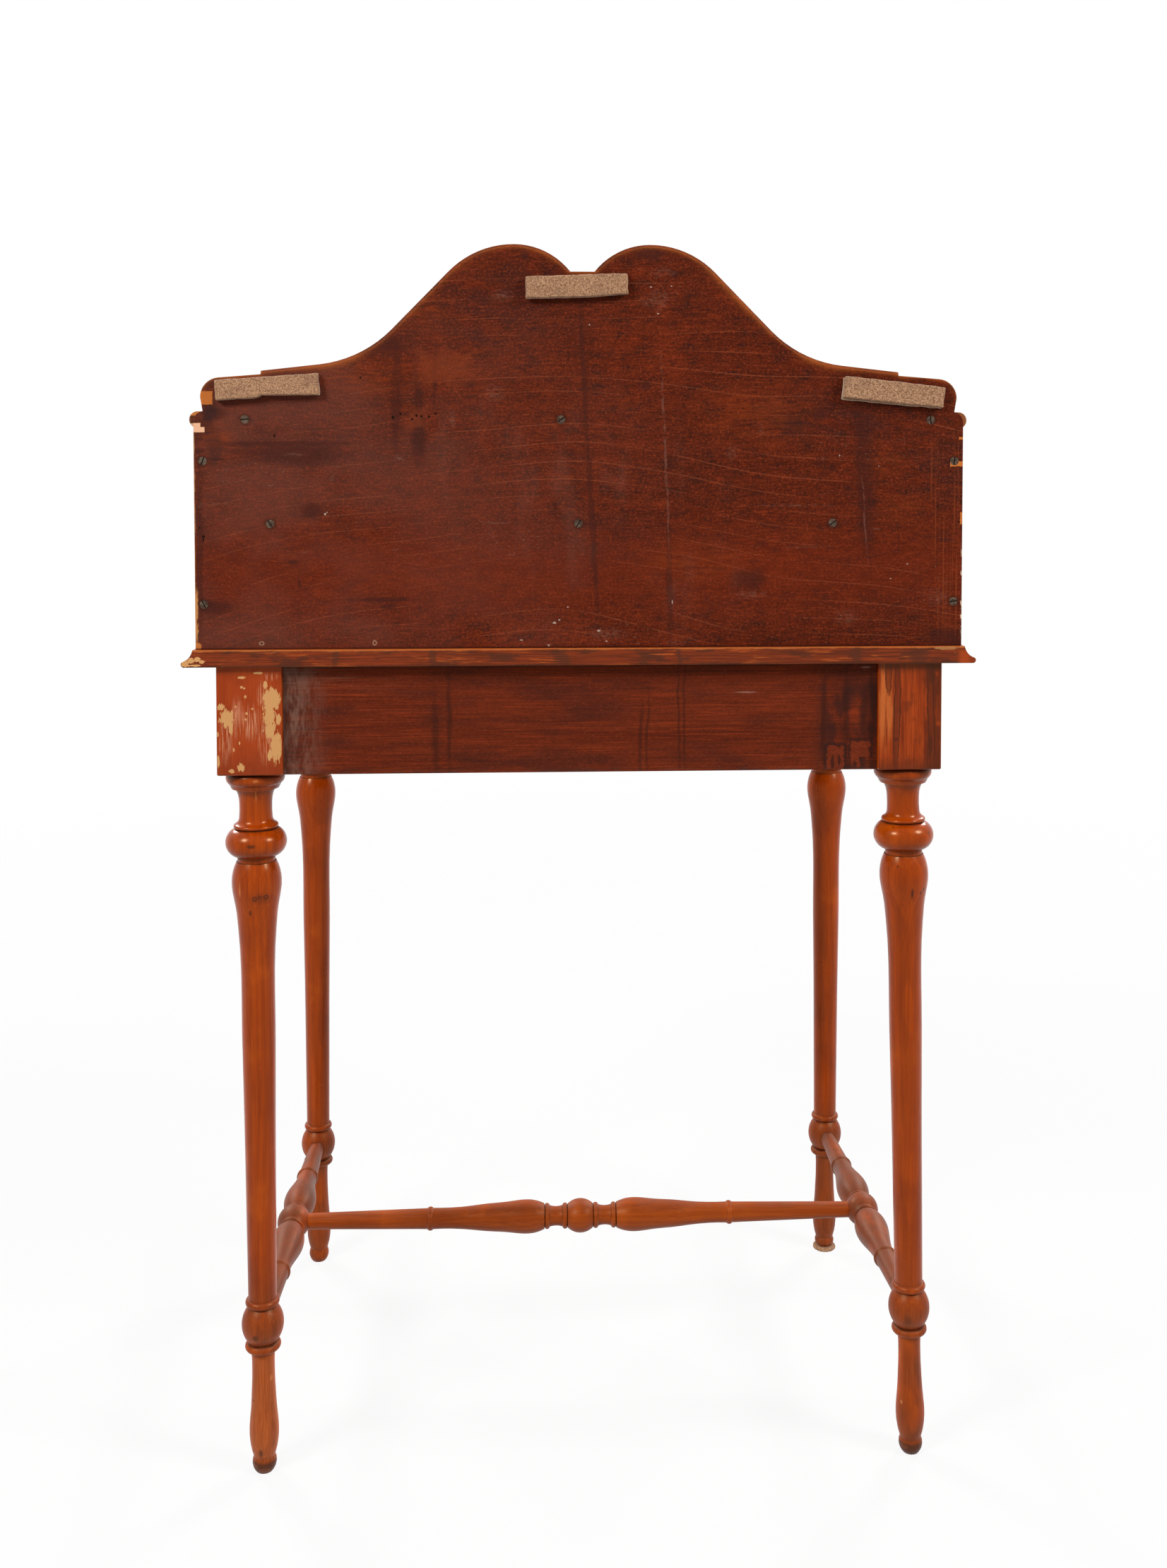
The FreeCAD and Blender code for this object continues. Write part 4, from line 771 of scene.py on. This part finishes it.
def steel_finish():
    """Dull brown-grey steel of old wood screws."""
    steel = Finish("dull_steel", 0.5)
    rust = steel.noise(2.5, 4)
    steel.colour = steel.mix(rust.step(0.35, 0.65), (96, 80, 64), (58, 38, 28))
    # Painted shade: screw slots and other hollows near black
    steel.paint((18, 12, 10), steel.hollows(1.4) * 0.95)
    steel.raise_by(rust * 0.08)
    return steel.done(0.15, 0.25, {"Metallic": 0.3})


# Which way the grain of each piece runs

GRAIN_X = ("cabinet_floor", "cabinet_shelf", "cross_", "front_lower", "front_upper", "_drawer_front")
GRAIN_Y = ("side_", "_knobs")
PALE_Y = ("_left_side", "_right_side", "frieze_guide", "frieze_kicker", "frieze_runner")


def named(name, marks):
    return any(mark in name for mark in marks)


def dress():
    """Gives every node its finish, and hands back the felt."""
    polish = {axis: finish_polish(polished("polished_wood_" + axis, axis, PITHS[axis])) for axis in "yz"}
    brown = polished("polished_wood_x", "x", PITHS["x"], BROWN_DARK, BROWN_LIGHT, dulled=0.2)
    polish["x"] = finish_polish(brown)
    pale = {axis: pale_wood("pale_inner_wood_" + axis, axis) for axis in "xy"}
    side_stretcher = dull_stretcher()
    special = {"back_board": back_board_finish(), "rear_rail": rear_rail_finish(),
               "writing_leather": leather_finish(), "leg_rear_right": rear_right_leg(),
               "leg_rear_left": rear_left_leg(), "desk_top": desk_top_finish(),
               "cabinet_top": cabinet_top_finish(), "side_stretcher_left": side_stretcher,
               "side_stretcher_right": side_stretcher}
    by_slot = {"dull_steel": steel_finish(), "wool_felt": felt_finish()}
    slots = {entry["node"]: entry["material_slot"] for entry in frame["record"]["subparts"]}
    for name, piece in frame["nodes"].items():
        slot = slots[name]
        if name in special:
            chosen = special[name]
        elif slot in by_slot:
            chosen = by_slot[slot]
        elif slot == "pale_inner_wood":
            chosen = pale["y" if named(name, PALE_Y) else "x"]
        elif named(name, GRAIN_X):
            chosen = polish["x"]
        else:
            chosen = polish["y" if named(name, GRAIN_Y) else "z"]
        piece.data.materials.clear()
        piece.data.materials.append(chosen)
    return by_slot["wool_felt"]


felt = dress()


# Felt pieces, in millimetres

PAD_LENGTH = 90
PAD_HEIGHT = 20
PAD_DEPTH = 7
PAD_CORNER = 1.2
PAD_RIM = 1.1
PAD_WALL_SHARE = 0.4
PAD_SHRINK = 0.3
PAD_SETTLE = 0.35
PAD_PITCH = 2.5
RIM_STATIONS = (0, 0.25, 0.6, 1, 1.5, 2.2)
BACKING_DEPTH = 1.7
PLY_OVERLAP = 0.2

# Unevenness of a pad's outline and face: (size, waves along, waves across, seed shift)
FRAY_WAVES = ((0.55, 0.13, 0.13, 0), (0.22, 0.9, 0.9, 5))
DENT_WAVES = ((0.35, 0.11, 0.16, 9), (0.16, 0.55, 0.55, 13))

# Felt disc: (share of the radius, share of the height) from its underside round the rim
DISC_PROFILE = ((0.62, 0), (0.93, 0), (0.985, 0.12), (1, 0.4), (0.985, 0.72), (0.94, 0.93), (0.86, 1),
                (0.55, 1))
DISC_SEGMENTS = 72
DISC_SHARE = 0.985
DISC_FRAY = 0.03
DISC_WAVES = 3


def stations(half):
    """Places across a pad from edge to edge, close together at its rounded rims."""
    rim = [half - offset for offset in RIM_STATIONS]
    inner = half - RIM_STATIONS[-1]
    count = round(2 * inner / PAD_PITCH)
    middle = [-inner + 2 * inner * k / count for k in range(1, count)]
    return sorted([-place for place in rim] + middle + rim)


def along_line(points, place):
    """Height of a line of (place, height) points, given from low to high places."""
    for (start, low), (end, high) in zip(points, points[1:]):
        if place <= end:
            return low + (high - low) * (place - start) / (end - start)
    return points[-1][1]


def uneven(waves, u, v, seed):
    """Sum of smooth noises at a place on a pad."""
    return sum(size * noise.noise(Vector((u * per_u, v * per_v, seed + shift)))
               for size, per_u, per_v, shift in waves)


def pad_ply(shape, centre, tilt, rear, front, lower_line, seed):
    """One layer of felt on the back board: frayed outline, rounded rim, uneven face."""
    half_length = PAD_LENGTH / 2
    half_height = PAD_HEIGHT / 2
    columns = stations(half_length)
    rows = stations(half_height)
    cosine = math.cos(math.radians(tilt))
    sine = math.sin(math.radians(tilt))
    depth = front - rear

    def place(u, v, y):
        over_u = max(0, abs(u) - (half_length - PAD_CORNER))
        over_v = max(0, abs(v) - (half_height - PAD_CORNER))
        if over_u and over_v:
            shrink = max(over_u, over_v) / math.hypot(over_u, over_v)
            u = math.copysign(half_length - PAD_CORNER + over_u * shrink, u)
            v = math.copysign(half_height - PAD_CORNER + over_v * shrink, v)
        lift = (0.5 - v / PAD_HEIGHT) * along_line(lower_line, u)
        grown = uneven(FRAY_WAVES, u, v, seed) - PAD_SHRINK
        outward_u = (u / half_length) ** 3
        outward_v = (v / half_height) ** 3
        u += outward_u * grown
        v += outward_v * grown + lift
        x = centre[0] + u * cosine + v * sine
        z = centre[1] - u * sine + v * cosine
        return shape.verts.new((x * MM, y * MM, z * MM))

    def thickness(u, v):
        inset = min(half_length - abs(u), half_height - abs(v), PAD_RIM) / PAD_RIM
        dome = math.sqrt(1 - (1 - inset) ** 2)
        settled = PAD_SETTLE - uneven(DENT_WAVES, u, v, seed)
        return depth * (PAD_WALL_SHARE + (1 - PAD_WALL_SHARE) * dome) - settled * dome * depth / PAD_DEPTH

    top = [[place(u, v, rear + thickness(u, v)) for v in rows] for u in columns]
    base = [[place(u, v, rear) for v in rows] for u in columns]
    last_column = len(columns) - 1
    last_row = len(rows) - 1
    for i in range(last_column):
        for j in range(last_row):
            shape.faces.new((top[i][j], top[i][j + 1], top[i + 1][j + 1], top[i + 1][j]))
            shape.faces.new((base[i][j], base[i + 1][j], base[i + 1][j + 1], base[i][j + 1]))
    rim = [(i, 0) for i in range(last_column)] + [(last_column, j) for j in range(last_row)]
    rim += [(i, last_row) for i in range(last_column, 0, -1)] + [(0, j) for j in range(last_row, 0, -1)]
    for (i, j), (k, m) in zip(rim, rim[1:] + rim[:1]):
        shape.faces.new((base[i][j], base[k][m], top[k][m], top[i][j]))


def felt_piece(name, node, shape):
    """Turns a made shape into a felt piece that stands for a node."""
    bmesh.ops.recalc_face_normals(shape, faces=shape.faces[:])
    for face in shape.faces:
        face.smooth = True
    piece = add_shape(name, shape, felt)
    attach(piece, "desk")
    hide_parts(node)


def felt_pad(side, centre, tilt, lower_line, seed, backing=None):
    """A felt pad on the back board. A backing is a thin second layer: (shift x, shift z, turn)."""
    shape = bmesh.new()
    rear = BACK_FACE
    if backing:
        rear = BACK_FACE + BACKING_DEPTH
        moved = (centre[0] + backing[0], centre[1] + backing[1])
        pad_ply(shape, moved, tilt + backing[2], BACK_FACE, rear + PLY_OVERLAP, lower_line, seed + 3)
    pad_ply(shape, centre, tilt, rear, BACK_FACE + PAD_DEPTH, lower_line, seed)
    felt_piece("felt_" + side, "felt_pad_" + side, shape)


def felt_disc():
    """Compressed felt disc under one front foot."""
    low, high = (Vector(corner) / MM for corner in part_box("felt_foot_disc"))
    middle = (low + high) / 2
    radius = (high.x - low.x) / 2
    shape = bmesh.new()
    loops = []
    for share, height in DISC_PROFILE:
        z = low.z + (high.z - low.z) * height
        loop = []
        for k in range(DISC_SEGMENTS):
            turn = 2 * math.pi * k / DISC_SEGMENTS
            cosine = math.cos(turn)
            sine = math.sin(turn)
            frayed = DISC_FRAY * noise.noise(Vector((DISC_WAVES * cosine, DISC_WAVES * sine, height)))
            reach = radius * share * (DISC_SHARE + frayed * share)
            x = middle.x + reach * cosine
            y = middle.y + reach * sine
            loop.append(shape.verts.new((x * MM, y * MM, z * MM)))
        loops.append(loop)
    shape.faces.new(loops[0])
    shape.faces.new(loops[-1])
    for lower, upper in zip(loops, loops[1:]):
        for k in range(DISC_SEGMENTS):
            m = (k + 1) % DISC_SEGMENTS
            shape.faces.new((lower[k], lower[m], upper[m], upper[k]))
    felt_piece("felt_foot", "felt_foot_disc", shape)


felt_pad("left", (-274.5, 974.5), -6.5, ((-45, 1.4), (0, 0.4), (45, 0)), 2, backing=(1, -1.2, 0.6))
felt_pad("centre", (5, 1066.5), 2, ((-45, 1.2), (-5, -0.6), (45, 0)), 20)
felt_pad("right", (273, 977.5), 4, ((-45, 0.2), (5, 3.2), (9, 1.5), (45, 1.5)), 40)
felt_disc()


# Studio and camera, in metres, watts and degrees

WHITE = (1, 1, 1, 1)
PAPER = {"Base Color": (0.66, 0.66, 0.66, 1), "Roughness": 0.8, "Specular IOR Level": 0.1}
LAMP_AIM = (0, 0.1, 0.65)
LAMPS = (("back_light_right", (1.93, 1.84, 2.45), 72), ("back_light_left", (-2.3, 1.32, 2.4), 68),
         ("front_light_right", (1.9, -2.2, 2.4), 62), ("front_light_left", (-1.9, -2.2, 2.4), 62))
CAMERA_DIP = 2.278
CAMERA_TURN = 2.724


def softbox(name, place, watts):
    """Square soft lamp that looks at the desk."""
    lamp = bpy.data.lights.new(name, "AREA")
    lamp.shape = "SQUARE"
    lamp.size = 0.8
    lamp.energy = watts
    box = add_object(name, lamp)
    box.location = place
    box.rotation_euler = (Vector(LAMP_AIM) - Vector(place)).to_track_quat("-Z", "Y").to_euler()


def seen_directly(tree):
    """1 for rays from the camera, from gloss or through glass."""
    seen = add_node(tree, "LightPath", output="Is Camera Ray")
    for kind in ("Is Glossy Ray", "Is Transmission Ray"):
        ray = add_node(tree, "LightPath", output=kind)
        seen = add_node(tree, "Math", {0: seen, 1: ray}, operation="MAXIMUM")
    return seen


def blended(tree, amount, first, second):
    """Shader between two others."""
    return add_node(tree, "MixShader", {0: amount, 1: first, 2: second})


def studio_floor(radius, whiteness, fade_start, fade_end):
    """White round floor that keeps a faint shadow and fades into the background."""
    material = bpy.data.materials.new("floor")
    material.use_nodes = True
    tree = material.node_tree
    paper = tree.nodes["Principled BSDF"]
    for name, value in PAPER.items():
        paper.inputs[name].default_value = value
    share = add_node(tree, "Math", {0: seen_directly(tree), 1: whiteness}, operation="MULTIPLY")
    white_paper = blended(tree, share, paper.outputs[0], add_node(tree, "Emission"))
    place = add_node(tree, "TexCoord", output="Object")
    length = add_node(tree, "VectorMath", {0: place}, "Value", operation="LENGTH")
    sockets = {"Value": length, "From Min": radius * fade_start, "From Max": radius * fade_end}
    fade = add_node(tree, "MapRange", sockets, interpolation_type="SMOOTHSTEP")
    faded = blended(tree, fade, white_paper, add_node(tree, "BsdfTransparent"))
    feed(tree, tree.nodes["Material Output"].inputs["Surface"], faded)
    shape = bmesh.new()
    bmesh.ops.create_circle(shape, cap_ends=True, segments=96, radius=radius)
    floor = add_shape("floor", shape, material)


def white_world(ambient):
    """Even fill light, seen as white by the camera and in reflections."""
    world = bpy.data.worlds.new("studio")
    world.use_nodes = True
    bpy.context.scene.world = world
    tree = world.node_tree
    fill = tree.nodes["Background"]
    fill.inputs["Color"].default_value = WHITE
    fill.inputs["Strength"].default_value = ambient
    white = add_node(tree, "Background", {"Color": WHITE})
    lit = blended(tree, seen_directly(tree), fill.outputs[0], white)
    feed(tree, tree.nodes["World Output"].inputs["Surface"], lit)


def camera():
    """Camera behind the desk, at the photograph's place, heading and framing."""
    lens = bpy.data.cameras.new("camera")
    lens.sensor_fit = "VERTICAL"
    lens.sensor_height = 36
    lens.lens = 36.88
    lens.shift_x = -0.0203
    lens.shift_y = -0.166
    seen_from = add_object("camera", lens)
    seen_from.location = (0.0383, 1.6395, 0.9152)
    seen_from.rotation_euler = (math.radians(90 - CAMERA_DIP), 0, math.radians(180 - CAMERA_TURN))
    bpy.context.scene.camera = seen_from


studio_floor(radius=3.4, whiteness=0.88, fade_start=0.35, fade_end=0.95)
white_world(ambient=0.11)
for lamp in LAMPS:
    softbox(*lamp)
camera()
bpy.context.scene.view_settings.view_transform = "Standard"
